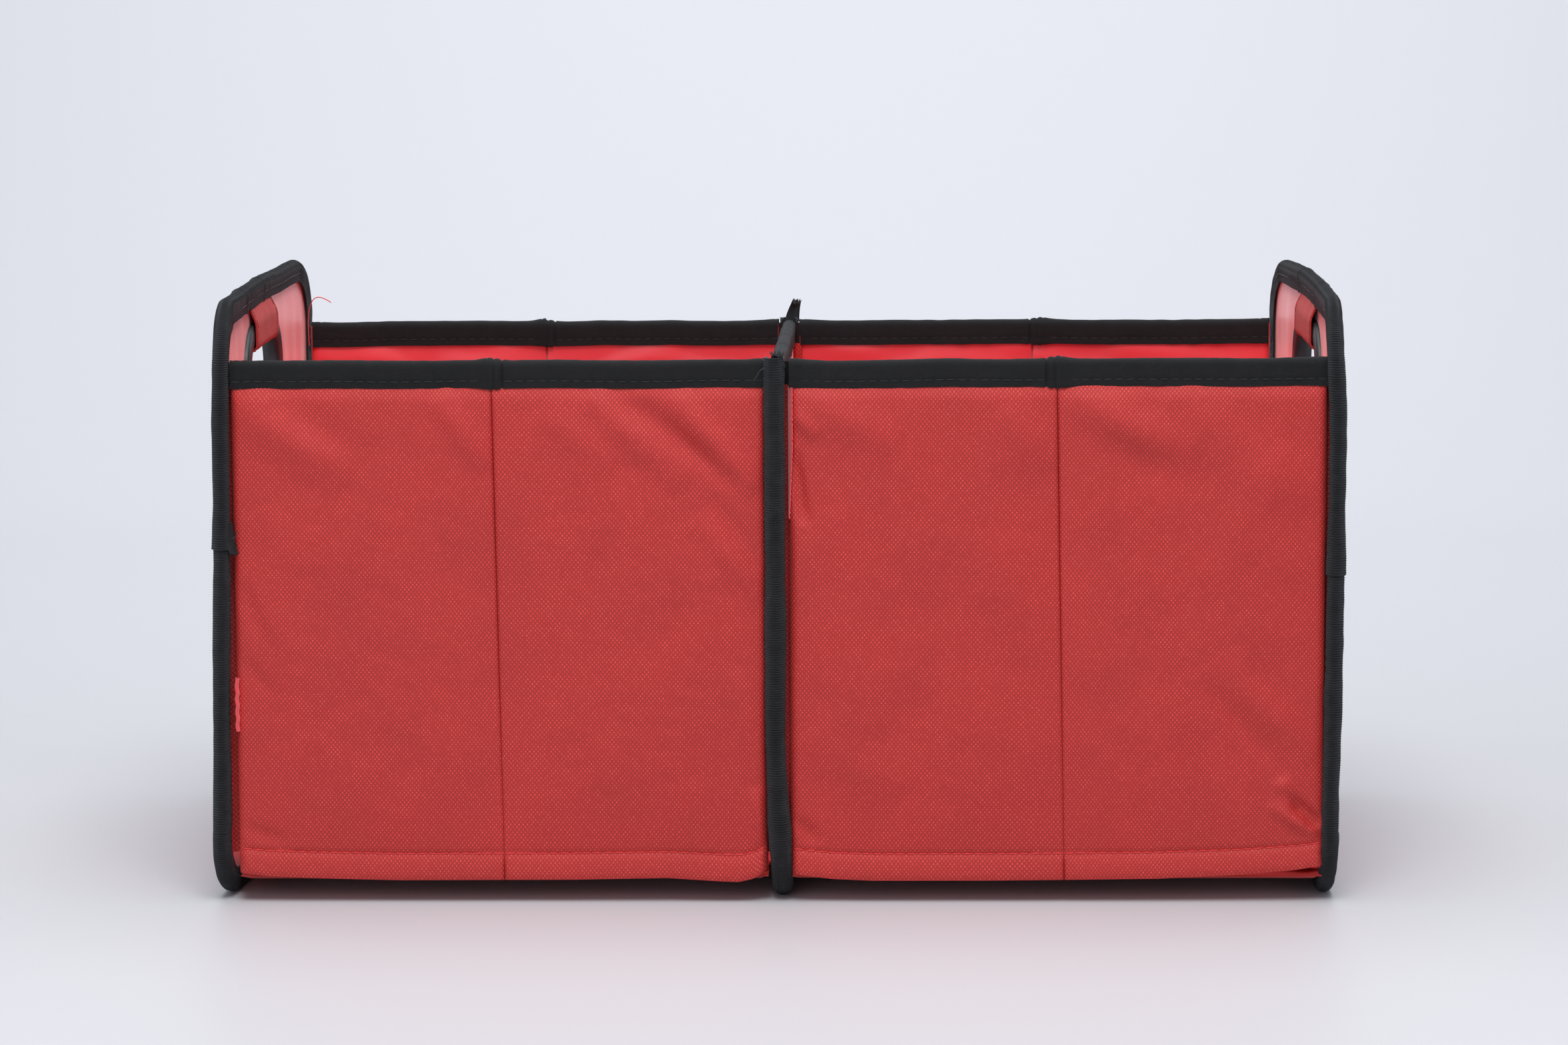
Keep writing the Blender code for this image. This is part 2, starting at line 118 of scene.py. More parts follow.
class StorageBoxSizes(PropertyGroup):
    """Sizes of the box's sewn details."""

    row_pitch: FloatProperty(
        name="Weave row", description="Distance between rows of the outer cloth's weave",
        default=1.3 * MM, min=0.2 * MM, unit="LENGTH")
    float_pitch: FloatProperty(
        name="Weave float", description="Distance between floats along a row of the weave",
        default=2.2 * MM, min=0.2 * MM, unit="LENGTH")
    rib_pitch: FloatProperty(
        name="Tape rib", description="Distance between the ribs across the edge tape",
        default=1.3 * MM, min=0.4 * MM, unit="LENGTH")
    rib_height: FloatProperty(
        name="Rib height", description="Height of the edge tape's ribs",
        default=0.22 * MM, min=0.0, unit="LENGTH")
    stitch_pitch: FloatProperty(
        name="Stitch pitch", description="Distance between stitches",
        default=5.8 * MM, min=1.0 * MM, unit="LENGTH")
    stitch_radius: FloatProperty(
        name="Thread radius", description="Half the thickness of the sewing thread",
        default=0.36 * MM, min=0.05 * MM, unit="LENGTH")
    hem_line: FloatProperty(
        name="Hem line", description="Height of the stitched line along the walls' hems",
        default=28.0 * MM, min=0.0, unit="LENGTH")
    wall_fullness: FloatProperty(
        name="Wall fullness", description="How far a wall's cloth stands out next to its edges",
        default=2.4 * MM, min=0.0, unit="LENGTH")
    wall_crown: FloatProperty(
        name="Wall crown", description="How much further the middle of a wall's cloth stands out",
        default=1.6 * MM, min=0.0, unit="LENGTH")
    lining_crown: FloatProperty(
        name="Lining crown", description="How far the middle of a lining stands out",
        default=1.2 * MM, min=0.0, unit="LENGTH")
    end_bow: FloatProperty(
        name="End bow", description="How far the end panels bow outwards at their middle",
        default=5.0 * MM, min=0.0, unit="LENGTH")


class StorageBoxColours(PropertyGroup):
    """Colours of the box's cloths, tape, thread and plastic."""

    outer_cloth: FloatVectorProperty(
        name="Outer cloth", description="Woven outer cloth", subtype="COLOR", size=3,
        default=(0.485, 0.0265, 0.024), min=0.0, max=1.0)
    lining_cloth: FloatVectorProperty(
        name="Lining", description="Coated lining cloth", subtype="COLOR", size=3,
        default=(0.84, 0.040, 0.055), min=0.0, max=1.0)
    tape: FloatVectorProperty(
        name="Tape", description="Ribbed edge tape", subtype="COLOR", size=3,
        default=(0.0065, 0.0070, 0.0080), min=0.0, max=1.0)
    plastic: FloatVectorProperty(
        name="Plastic", description="Moulded handle frames", subtype="COLOR", size=3,
        default=(0.022, 0.026, 0.030), min=0.0, max=1.0)
    red_thread: FloatVectorProperty(
        name="Red thread", description="Thread of the red seams", subtype="COLOR", size=3,
        default=(0.78, 0.030, 0.026), min=0.0, max=1.0)
    board: FloatVectorProperty(
        name="Board", description="Stiffener boards inside the panels", subtype="COLOR", size=3,
        default=(0.30, 0.29, 0.27), min=0.0, max=1.0)


def sizes():
    """The sizes that the panel shows."""
    return bpy.context.scene.storage_box_sizes


def colours():
    """The colours that the panel shows."""
    return bpy.context.scene.storage_box_colours


# Materials

def add_node(material, kind, **inputs):
    """A shader node, with values set on its inputs by name."""
    node = material.node_tree.nodes.new(kind)
    for name, value in inputs.items():
        node.inputs[name.replace("_", " ")].default_value = value
    return node


def join(material, source, target):
    """Link one socket to another."""
    material.node_tree.links.new(source, target)


def new_material(name, colour, roughness):
    """A Principled material and its shader."""
    material = bpy.data.materials.new(name)
    material.use_nodes = True
    shader = material.node_tree.nodes["Principled BSDF"]
    shader.inputs["Base Color"].default_value = (*colour, 1.0)
    shader.inputs["Roughness"].default_value = roughness
    material.diffuse_color = (*colour, 1.0)
    return material, shader


def surface_vector(material):
    """The piece's own surface coordinates, in metres."""
    return add_node(material, "ShaderNodeUVMap").outputs["UV"]


def object_vector(material):
    """Object coordinates, in metres."""
    return add_node(material, "ShaderNodeTexCoord").outputs["Object"]


def floats(material, vector, across, row):
    """The floats of a plain weave in staggered rows: 1 on a float, -1 in a hole, smooth between them."""
    parts = add_node(material, "ShaderNodeSeparateXYZ")
    join(material, vector, parts.inputs["Vector"])
    crossing = []
    for axis, pitch in (("X", across), ("Y", 2 * row)):
        turns = add_node(material, "ShaderNodeMath")
        turns.operation = "MULTIPLY"
        turns.inputs[1].default_value = 2 * math.pi / pitch
        join(material, parts.outputs[axis], turns.inputs[0])
        wave = add_node(material, "ShaderNodeMath")
        wave.operation = "SINE"
        join(material, turns.outputs[0], wave.inputs[0])
        crossing.append(wave.outputs[0])
    return multiply(material, *crossing)


def noise(material, vector, scale, detail=3.0):
    """A smooth noise value."""
    node = add_node(material, "ShaderNodeTexNoise", Scale=scale, Detail=detail)
    join(material, vector, node.inputs["Vector"])
    return node.outputs["Fac"]


MIX_FACTOR, MIX_FIRST, MIX_SECOND, MIX_RESULT = 0, 6, 7, 2


def blend_colours(material, factor, low, high):
    """A colour between two, by a factor that runs from 0 to 1."""
    node = add_node(material, "ShaderNodeMix")
    node.data_type = "RGBA"
    node.clamp_factor = True
    node.inputs[MIX_FIRST].default_value = (*low, 1.0)
    node.inputs[MIX_SECOND].default_value = (*high, 1.0)
    join(material, factor, node.inputs[MIX_FACTOR])
    return node.outputs[MIX_RESULT]


def multiply_colours(material, first, second):
    """Two colours multiplied."""
    node = add_node(material, "ShaderNodeMix")
    node.data_type = "RGBA"
    node.blend_type = "MULTIPLY"
    node.inputs[MIX_FACTOR].default_value = 1.0
    join(material, first, node.inputs[MIX_FIRST])
    join(material, second, node.inputs[MIX_SECOND])
    return node.outputs[MIX_RESULT]


def remap(material, value, low, high, to_low, to_high):
    """A value moved from one range to another."""
    node = add_node(material, "ShaderNodeMapRange")
    for name, number in (("From Min", low), ("From Max", high), ("To Min", to_low), ("To Max", to_high)):
        node.inputs[name].default_value = number
    join(material, value, node.inputs["Value"])
    return node.outputs["Result"]


def raise_surface(material, shader, heights):
    """Chain bumps of (height value, depth in metres) into the shader's normal."""
    before = None
    for height, depth in heights:
        bump = add_node(material, "ShaderNodeBump", Strength=1.0, Distance=depth)
        join(material, height, bump.inputs["Height"])
        if before:
            join(material, before, bump.inputs["Normal"])
        before = bump.outputs["Normal"]
    join(material, before, shader.inputs["Normal"])


def shade(colour, factor):
    """A colour made lighter or darker."""
    return tuple(min(1.0, channel * factor) for channel in colour)


def multiply(material, first, second):
    """Two values multiplied."""
    node = add_node(material, "ShaderNodeMath")
    node.operation = "MULTIPLY"
    join(material, first, node.inputs[0])
    join(material, second, node.inputs[1])
    return node.outputs[0]


def colour_ramp(material, value, colours_at):
    """Colours at places from 0 to 1, blended between by a value."""
    ramp = add_node(material, "ShaderNodeValToRGB")
    stops = ramp.color_ramp.elements
    for place, colour in colours_at.items():
        stop = {0.0: stops[0], 1.0: stops[-1]}.get(place) or stops.new(place)
        stop.color = (*colour, 1.0)
    join(material, value, ramp.inputs["Fac"])
    return ramp.outputs["Color"]


def woven_cloth():
    """Red woven polyester: small floats in staggered rows over a ground, with painted glints on the floats
    and painted shade in the holes between them.
    """
    colour = tuple(colours().outer_cloth)
    material, shader = new_material("red_woven_cloth", colour, 0.6)
    place = object_vector(material)
    weave = floats(material, surface_vector(material), sizes().float_pitch, sizes().row_pitch)
    fibres = noise(material, place, scale=1400.0, detail=2.0)
    worn = noise(material, place, scale=24.0, detail=4.0)
    slub = remap(material, noise(material, place, scale=420.0, detail=2.0), 0.3, 0.7, 0.55, 1.0)
    # Painted light: the ramp darkens the weave's holes as painted shade and lights its floats, up to a
    # painted glint that is paler and more orange than the cloth.
    float_glint_colour = (colour[0], colour[1] * 2.2, colour[2] * 2.0)
    painted_light_tones = colour_ramp(material, remap(material, multiply(material, weave, slub), -1.0, 0.92, 0.0, 1.0), {
        0.0: shade(colour, 0.76),
        0.60: shade(colour, 0.96),
        0.78: shade(colour, 1.14),
        1.0: shade(float_glint_colour, 2.2),
    })
    patches = blend_colours(material, worn, (0.88, 0.88, 0.88), (1.12, 1.12, 1.12))
    join(material, multiply_colours(material, painted_light_tones, patches), shader.inputs["Base Color"])
    shader.inputs["Sheen Weight"].default_value = 0.10
    shader.inputs["Sheen Roughness"].default_value = 0.4
    shader.inputs["Sheen Tint"].default_value = (1.0, 0.45, 0.4, 1.0)
    shader.inputs["Specular IOR Level"].default_value = 0.4
    raise_surface(material, shader, [(weave, 0.10 * MM), (fibres, 0.05 * MM)])
    return material


def coated_cloth():
    """Red lining with a smooth coated face over a fine weave."""
    colour = tuple(colours().lining_cloth)
    material, shader = new_material("red_coated_lining", colour, 0.36)
    place = object_vector(material)
    threads = floats(material, surface_vector(material), across=0.9 * MM, row=0.5 * MM)
    worn = noise(material, place, scale=18.0)
    tone = blend_colours(material, worn, shade(colour, 0.88), shade(colour, 1.14))
    join(material, tone, shader.inputs["Base Color"])
    gloss = remap(material, worn, 0.3, 0.7, 0.28, 0.40)
    join(material, gloss, shader.inputs["Roughness"])
    shader.inputs["Specular IOR Level"].default_value = 0.7
    shader.inputs["Sheen Weight"].default_value = 0.6
    shader.inputs["Sheen Tint"].default_value = (1.0, 0.65, 0.65, 1.0)
    raise_surface(material, shader, [(threads, 0.012 * MM), (worn, 1.2 * MM)])
    return material


def black_tape(name, across, row, glint_brightness, roughness, sheen):
    """Black woven tape with a painted highlight, a light yarn dot, on each float."""
    colour = tuple(colours().tape)
    material, shader = new_material(name, colour, roughness)
    place = object_vector(material)
    yarns = floats(material, surface_vector(material), across, row)
    worn = noise(material, place, scale=130.0)
    # The dots are painted highlights over a darker ground, their strength varied at random by the noise.
    glint_dots = remap(material, yarns, 0.1, 0.95, 0.0, 1.0)
    painted_glints = multiply(material, glint_dots, remap(material, worn, 0.3, 0.7, 0.5, 1.0))
    tone = blend_colours(material, painted_glints, shade(colour, 0.4), shade(colour, glint_brightness))
    join(material, tone, shader.inputs["Base Color"])
    shader.inputs["Specular IOR Level"].default_value = 0.26
    shader.inputs["Sheen Weight"].default_value = sheen
    shader.inputs["Sheen Roughness"].default_value = 0.3
    shader.inputs["Sheen Tint"].default_value = (0.75, 0.82, 0.9, 1.0)
    raise_surface(material, shader, [(yarns, 0.16 * MM)])
    return material


def ribbed_tape():
    """Ribbed edge tape: close rows of painted highlight dots, one dot to each rib."""
    return black_tape(
        "black_ribbed_tape", across=sizes().rib_pitch, row=0.45 * MM, glint_brightness=15.0, roughness=0.55, sheen=0.14)


def twill_tape():
    """Close-woven tape of the wall tops."""
    return black_tape(
        "black_twill_tape", across=1.15 * MM, row=0.75 * MM, glint_brightness=5.0, roughness=0.65, sheen=0.09)


def moulded_plastic():
    """Black satin plastic of the handle frames, with a fine moulded grain."""
    colour = tuple(colours().plastic)
    material, shader = new_material("black_moulded_plastic", colour, 0.38)
    place = object_vector(material)
    grain = noise(material, place, scale=2200.0, detail=2.0)
    worn = noise(material, place, scale=70.0)
    tone = blend_colours(material, worn, shade(colour, 0.8), shade(colour, 1.3))
    join(material, tone, shader.inputs["Base Color"])
    gloss = remap(material, worn, 0.3, 0.7, 0.33, 0.46)
    join(material, gloss, shader.inputs["Roughness"])
    raise_surface(material, shader, [(grain, 0.03 * MM)])
    return material


def sewing_thread(name, colour):
    """Twisted sewing thread."""
    material, shader = new_material(name, colour, 0.55)
    place = object_vector(material)
    twist = noise(material, place, scale=2600.0, detail=2.0)
    tone = blend_colours(material, twist, shade(colour, 0.7), shade(colour, 1.25))
    join(material, tone, shader.inputs["Base Color"])
    shader.inputs["Sheen Weight"].default_value = 0.3
    return material


def stiffener_board():
    """Grey board inside the panels, faintly flecked."""
    colour = tuple(colours().board)
    material, shader = new_material("grey_stiffener_board", colour, 0.7)
    place = object_vector(material)
    flecks = noise(material, place, scale=420.0, detail=4.0)
    tone = blend_colours(material, flecks, shade(colour, 0.8), shade(colour, 1.15))
    join(material, tone, shader.inputs["Base Color"])
    return material


MATERIALS = {}


def material_for(name):
    """The named material, made when it is first asked for."""
    red = tuple(colours().red_thread)
    makers = {
        "woven_cloth": woven_cloth,
        "coated_cloth": coated_cloth,
        "ribbed_tape": ribbed_tape,
        "twill_tape": twill_tape,
        "moulded_plastic": moulded_plastic,
        "stiffener_board": stiffener_board,
        "red_thread": lambda: sewing_thread("red_sewing_thread", red),
        "wrap_thread": lambda: sewing_thread("dark_red_sewing_thread", shade(red, 0.4)),
        "black_thread": lambda: sewing_thread("black_sewing_thread", shade(tuple(colours().tape), 1.5)),
    }
    if name not in MATERIALS:
        MATERIALS[name] = makers[name]()
    return MATERIALS[name]


# Shaping

ARC_STEPS = 24


def rounded_line(corners, spacing, closed=False):
    """Evenly spaced points along straight runs joined by arcs, from (a, b, radius) corners."""
    places = [Vector(corner[:2]) for corner in corners]
    count = len(places)
    dense = []
    for index, corner in enumerate(corners):
        place, radius = places[index], corner[2]
        if radius <= 0 or (not closed and index in (0, count - 1)):
            dense.append(place)
            continue
        back = (places[index - 1] - place).normalized()
        ahead = (places[(index + 1) % count] - place).normalized()
        half = back.angle(ahead) / 2
        centre = place + (back + ahead).normalized() * radius / math.sin(half)
        start = place + back * radius / math.tan(half) - centre
        turn = math.pi - 2 * half
        if back.x * ahead.y - back.y * ahead.x > 0:
            turn = -turn
        for step in range(ARC_STEPS + 1):
            dense.append(centre + Matrix.Rotation(turn * step / ARC_STEPS, 2) @ start)
    if closed:
        dense.append(dense[0])
    points = np.array([tuple(point) for point in dense])
    gaps = np.linalg.norm(np.diff(points, axis=0), axis=1)
    run = np.concatenate(([0.0], np.cumsum(gaps)))
    segments = max(2, round(run[-1] / spacing))
    even = np.linspace(0.0, run[-1], segments + 1)
    return np.column_stack([np.interp(even, run, points[:, axis]) for axis in (0, 1)]), run[-1]


def path_normals(points, closed):
    """Unit normals on the left of a plane path's travel."""
    if closed:
        body = points[:-1]
        ahead = np.roll(body, -1, axis=0) - np.roll(body, 1, axis=0)
        ahead = np.vstack([ahead, ahead[:1]])
    else:
        ahead = np.gradient(points, axis=0)
    ahead /= np.linalg.norm(ahead, axis=1)[:, None]
    return np.column_stack([-ahead[:, 1], ahead[:, 0]])


def waves(seed, length, count=9):
    """A smooth uneven height over a plane, between about -1 and 1, from seeded sine waves."""
    draw = np.random.default_rng(seed)
    turn = draw.uniform(0, 2 * math.pi, count)
    reach = 2 * math.pi / (length * draw.uniform(0.7, 1.8, count))
    phase = draw.uniform(0, 2 * math.pi, count)

    def height(a, b):
        total = np.zeros(np.broadcast(a, b).shape)
        for angle, pace, start in zip(turn, reach, phase):
            total = total + np.sin(pace * (a * math.cos(angle) + b * math.sin(angle)) + start)
        return total / math.sqrt(count * 1.5)

    return height


def between(value, start, stop):
    """A smooth rise from 0 at the start to 1 at the stop."""
    share = np.clip((value - start) / (stop - start), 0.0, 1.0)
    return share * share * (3 - 2 * share)


def bell(away, width):
    """1 in the middle of a soft bump, falling to nothing past its width."""
    return np.exp(-((away / width) ** 2))


def swelling(inside, reach):
    """0 at an edge, rising towards 1 inside it."""
    return 1 - np.exp(-np.clip(inside, 0, None) / reach)


def crease(a, b, start, end, width, height):
    """A ridge or valley along a line, which fades towards both its ends."""
    start, end = np.array(start) * MM, np.array(end) * MM
    line = end - start
    share = ((a - start[0]) * line[0] + (b - start[1]) * line[1]) / line.dot(line)
    near = np.clip(share, 0.0, 1.0)
    away = np.hypot(a - start[0] - near * line[0], b - start[1] - near * line[1])
    fade = np.sin(np.pi * np.clip(share * 0.8 + 0.1, 0.0, 1.0)) ** 0.7
    return FOLD_STRENGTH * height * MM * fade * bell(away, width * MM)


def wrap_grid(name, points, along, across):
    """A primitive grid laid over an array of points, with its UV map in metres."""
    columns, rows = points.shape[0] - 1, points.shape[1] - 1
    bpy.ops.object.select_all(action="DESELECT")
    bpy.ops.mesh.primitive_grid_add(x_subdivisions=columns, y_subdivisions=rows, size=1)
    piece = bpy.context.object
    piece.name = name
    mesh = piece.data
    mesh.name = name
    flat = np.empty(len(mesh.vertices) * 3)
    mesh.vertices.foreach_get("co", flat)
    flat = flat.reshape(-1, 3)
    column = np.rint((flat[:, 0] + 0.5) * columns).astype(int)
    row = np.rint((flat[:, 1] + 0.5) * rows).astype(int)
    mesh.vertices.foreach_set("co", points[column, row].ravel())
    layer = mesh.uv_layers.active.data
    uv = np.empty(len(layer) * 2)
    layer.foreach_get("uv", uv)
    layer.foreach_set("uv", (uv.reshape(-1, 2) * (along, across)).ravel())
    mesh.update()
    return piece


def edit_all(piece, *steps):
    """Run edit-mode steps with the whole piece selected."""
    bpy.ops.object.select_all(action="DESELECT")
    piece.select_set(True)
    bpy.context.view_layer.objects.active = piece
    bpy.ops.object.mode_set(mode="EDIT")
    bpy.ops.mesh.select_all(action="SELECT")
    for step in steps:
        step()
    bpy.ops.object.mode_set(mode="OBJECT")


def close_solid(piece):
    """Weld a piece's meeting edges, close what is open and turn its faces outwards."""
    edit_all(
        piece,
        lambda: bpy.ops.mesh.remove_doubles(threshold=0.002 * MM),
        lambda: bpy.ops.mesh.fill_holes(sides=0),
        lambda: bpy.ops.mesh.normals_make_consistent(inside=False),
    )


def face_towards(piece, direction):
    """Turn an open sheet over if it faces away from the direction."""
    mesh = piece.data
    normals = np.empty(len(mesh.polygons) * 3)
    mesh.polygons.foreach_get("normal", normals)
    if normals.reshape(-1, 3).mean(axis=0).dot(np.array(direction, float)) < 0:
        edit_all(piece, lambda: bpy.ops.mesh.flip_normals())


def apply_modifier(piece, kind, **values):
    """Add a modifier and apply it."""
    change = piece.modifiers.new(kind.title(), kind)
    for name, value in values.items():
        setattr(change, name, value)
    bpy.ops.object.select_all(action="DESELECT")
    piece.select_set(True)
    bpy.context.view_layer.objects.active = piece
    bpy.ops.object.modifier_apply(modifier=change.name)


def finish_piece(piece, material, body=None, replaced=()):
    """Give a piece its material, shade it smooth and hang it on its body."""
    piece.data.materials.clear()
    piece.data.materials.append(material_for(material))
    bpy.ops.object.select_all(action="DESELECT")
    piece.select_set(True)
    bpy.context.view_layer.objects.active = piece
    bpy.ops.object.shade_smooth_by_angle(angle=math.radians(50))
    if body:
        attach(piece, body)
    if replaced:
        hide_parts(*replaced)
    return piece


def cloth_piece(name, points, along, across, outwards, thickness):
    """A sheet of cloth over an array of points, given its thickness behind its face."""
    piece = wrap_grid(name, points, along, across)
    face_towards(piece, outwards)
    apply_modifier(piece, "SOLIDIFY", thickness=thickness, offset=-1.0)
    return piece


# How each end panel stands, by its side
FOOT_SPLAY = {-1: 4.0 * MM, 1: -1.6 * MM}
TOP_DROP = {-1: 4.8 * MM, 1: 5.2 * MM}
TOP_LIFT = {-1: 2.8 * MM, 1: 0.6 * MM}
CORNER_LEAN = {-1: 1.8 * MM, 1: 2.4 * MM}


def bowed(points, side):
    """Points of an end panel, moved with its bow, the splay of its front foot and the lean of its top."""
    depth = np.clip(points[..., 1] / PANEL_DEPTH, -1.0, 1.0)
    height = points[..., 2] / END_TOP
    bow = sizes().end_bow * (1 - depth ** 2) * between(height, 0.0, 1.0)
    splay = FOOT_SPLAY[side] * between(height, 0.75, 0.0) * between(depth, 0.0, -1.0)
    upper = between(height, 0.55, 0.95)
    corner = between(height, 0.76, 1.0) * between(depth, -0.2, -1.0)
    drop = TOP_DROP[side] * between(depth, 0.35, -0.6) - TOP_LIFT[side] * between(depth, 0.3, 0.8)
    moved = points.copy()
    moved[..., 0] += side * (bow + splay - CORNER_LEAN[side] * corner)
    moved[..., 2] -= drop * upper
    return moved


def along_line(line, run, distance):
    """Points at the given distances along a line of points."""
    return np.column_stack([np.interp(distance, run, line[:, axis]) for axis in range(3)])


def thread_bead(length, radius):
    """One stitch: a short rounded length of thread along X."""
    bpy.ops.object.select_all(action="DESELECT")
    bpy.ops.mesh.primitive_uv_sphere_add(segments=6, ring_count=5, radius=1.0)
    bead = bpy.context.object
    edit_all(
        bead,
        lambda: bpy.ops.transform.rotate(value=math.pi / 2, orient_axis="Y", center_override=(0.0, 0.0, 0.0)),
        lambda: bpy.ops.transform.resize(value=(length / 2, radius, radius), center_override=(0.0, 0.0, 0.0)),
    )
    return bead


def copies_along(name, base, places, aims, upward):
    """Copies of a solid, each at its place with its X along an aim, joined into one piece."""
    bpy.ops.object.select_all(action="DESELECT")
    for place, aim, above in zip(places, aims, upward):
        ahead = Vector(aim).normalized()
        sideways = Vector(above).cross(ahead).normalized()
        turn = Matrix((ahead, sideways, ahead.cross(sideways))).transposed().to_4x4()
        copy = base.copy()
        copy.data = base.data.copy()
        copy.data.transform(Matrix.Translation(Vector(place)) @ turn)
        bpy.context.scene.collection.objects.link(copy)
        copy.select_set(True)
        bpy.context.view_layer.objects.active = copy
    bpy.ops.object.join()
    piece = bpy.context.object
    piece.name = name
    piece.data.name = name
    bpy.data.objects.remove(base)
    return piece


BLACK_THREAD_SHARE = 0.6


def stitch_row(name, line, upward, material, body, length_share=0.82):
    """A row of stitches along a line of points, lying on the surface whose normals are given."""
    gaps = np.linalg.norm(np.diff(line, axis=0), axis=1)
    run = np.concatenate(([0.0], np.cumsum(gaps)))
    pitch = sizes().stitch_pitch
    count = max(1, int(run[-1] / pitch))
    middle = (np.arange(count) + 0.5) * run[-1] / count
    draw = np.random.default_rng(len(name) + count)
    aims = along_line(line, run, middle + pitch * 0.3) - along_line(line, run, middle - pitch * 0.3)
    aims = aims + draw.normal(0, 0.03, aims.shape) * np.linalg.norm(aims, axis=1)[:, None]
    radius = sizes().stitch_radius * (BLACK_THREAD_SHARE if material == "black_thread" else 1.0)
    base = thread_bead(pitch * length_share, radius)
    piece = copies_along(name, base, along_line(line, run, middle), aims, along_line(upward, run, middle))
    return finish_piece(piece, material, body)


def tube(name, points, radius, material, slot, body):
    """A short length of thread along a smooth run of points."""
    bpy.ops.object.select_all(action="DESELECT")
    bpy.ops.curve.primitive_nurbs_path_add()
    path = bpy.context.object
    path.data.splines.clear()
    spline = path.data.splines.new("NURBS")
    spline.points.add(len(points) - 1)
    for point, place in zip(spline.points, points):
        point.co = (*[value * MM for value in place], 1.0)
    spline.order_u = 3
    spline.use_endpoint_u = True
    path.data.bevel_depth = radius
    path.data.bevel_resolution = 1
    path.data.use_fill_caps = True
    path.data.resolution_u = 8
    path.location = (0.0, 0.0, 0.0)
    path.name = name
    bpy.ops.object.convert(target="MESH")
    return finish_piece(path, material, body)


# Cloth of the walls

# Folds of the front's cloth in millimetres: start and end as (x, z), width, and height, which
# FOLD_STRENGTH multiplies. The back has the same folds, turned round with it.
FOLD_STRENGTH = 2.4
FRONT_FOLDS = {
    "inner_left": [
        ((-97, 268), (-52, 228), 8, 1.1), ((-84, 272), (-38, 236), 6, -0.8),
        ((-52, 268), (-14, 226), 7, 1.2), ((-70, 268), (-24, 224), 5, -0.7),
        ((-40, 205), (-11, 166), 7, 0.8), ((-34, 216), (-10, 182), 5, -0.6),
        ((-120, 262), (-88, 236), 9, 0.6), ((-24, 120), (-9, 70), 8, 0.7),
        ((-12, 60), (-9, 34), 4, 0.9),
    ],
    "outer_left": [
        ((-280, 266), (-232, 230), 12, 1.3), ((-262, 268), (-218, 240), 9, -0.7),
        ((-176, 270), (-152, 236), 8, 1.0), ((-270, 210), (-255, 180), 10, 0.6),
        ((-285, 172), (-272, 140), 5, -0.5), ((-284, 130), (-268, 112), 4, -0.4),
        ((-284, 40), (-262, 33), 4, -0.5),
    ],
    "inner_right": [
        ((9, 262), (20, 250), 4, 1.0), ((8, 240), (14, 206), 3.5, -1.4),
        ((12, 268), (60, 248), 10, 0.9), ((10, 200), (24, 120), 9, 0.6),
        ((120, 262), (142, 236), 9, 0.6), ((20, 90), (60, 60), 12, 0.5),
        ((9, 44), (20, 34), 4, -0.7),
    ],
    "outer_right": [
        ((156, 268), (214, 240), 11, 1.4), ((160, 252), (220, 222), 9, -0.6),
        ((210, 268), (274, 214), 14, 0.9), ((262, 236), (226, 168), 14, 0.8),
        ((236, 128), (280, 82), 8, 0.9), ((228, 116), (268, 70), 6, -0.7),
        ((268, 60), (288, 39), 3.2, -1.6), ((266, 66), (272, 52), 4, 1.2),
        ((262, 52), (284, 36), 4, 1.3), ((280, 44), (291, 41), 3, -1.0),
    ],
}


def wall_plan(near, far, roll, tuck, spacing=1.5 * MM):
    """Across one wall half, from its panel to the mid seam: distance along X and how far it is set in."""
    corners = [
        (near, tuck, 0.0),
        (near, 0.0, roll),
        (far, 0.0, 1.6 * MM),
        (far, 2.2 * MM, 0.0),
    ]
    line, length = rounded_line(corners, spacing)
    return line[:, 0], line[:, 1], length


def wall_heights(bottom, top, tuck_under, spacing=1.7 * MM):
    """Up one wall half, from under its hem: height and how far it is set in."""
    corners = [
        (tuck_under, bottom, 0.0),
        (0.0, bottom, 1.6 * MM),
        (0.0, top, 0.0),
    ]
    line, length = rounded_line(corners, spacing)
    return line[:, 1], line[:, 0], length


def wall_puff(x, z, near, far, folds, seed):
    """How far a wall's cloth stands out from its board."""
    hem = sizes().hem_line
    across = np.clip((x - near) / (far - near), 0.0, 1.0)
    upward = np.clip((z - hem) / (WALL_TAPE_EDGE - hem), 0.0, 1.0)
    panel = (1 - np.abs(2 * across - 1) ** 4) * (1 - np.abs(2 * upward - 1) ** 6)
    full = 0.25 + 0.75 * between(z, WALL_TAPE_EDGE + 1.5 * MM, WALL_TAPE_EDGE - 7.5 * MM)
    band = np.clip((z - WALL_BOTTOM) / (hem - WALL_BOTTOM), 0.0, 1.0)
    flare = 1.8 * MM * (1 - band) * (z < hem) + 0.7 * MM * np.sin(np.pi * band)
    groove = 0.8 * MM * bell(z - hem, 1.1 * MM)
    height = sizes().wall_fullness * full + sizes().wall_crown * panel + flare - groove
    height = height + 0.30 * MM * waves(seed, 55 * MM)(x, z) * (panel + 0.3)
    height = height + 0.12 * MM * waves(seed + 50, 15 * MM)(x, z) * (panel + 0.2)
    for start, end, width, rise in folds:
        height = height + crease(x, z, start, end, width, rise)
    return np.maximum(height, 0.15 * MM)


# How far the front's hem is drawn up at each distance from the divider, in millimetres
HEM_FOOT = {
    "left": ((5, 4.1), (9, 1.4), (14, -1.6), (22, -3.4), (32, -3.0), (60, -1.2), (110, -2.1), (203, -2.4),
             (250, -1.3), (274, -0.2), (292, 2.0)),
    "right": ((6, 1.6), (12, 0.2), (28, -1.7), (50, -2.7), (110, -2.6), (200, -1.6), (245, 0.5), (273, 3.0),
              (288, 5.4)),
}


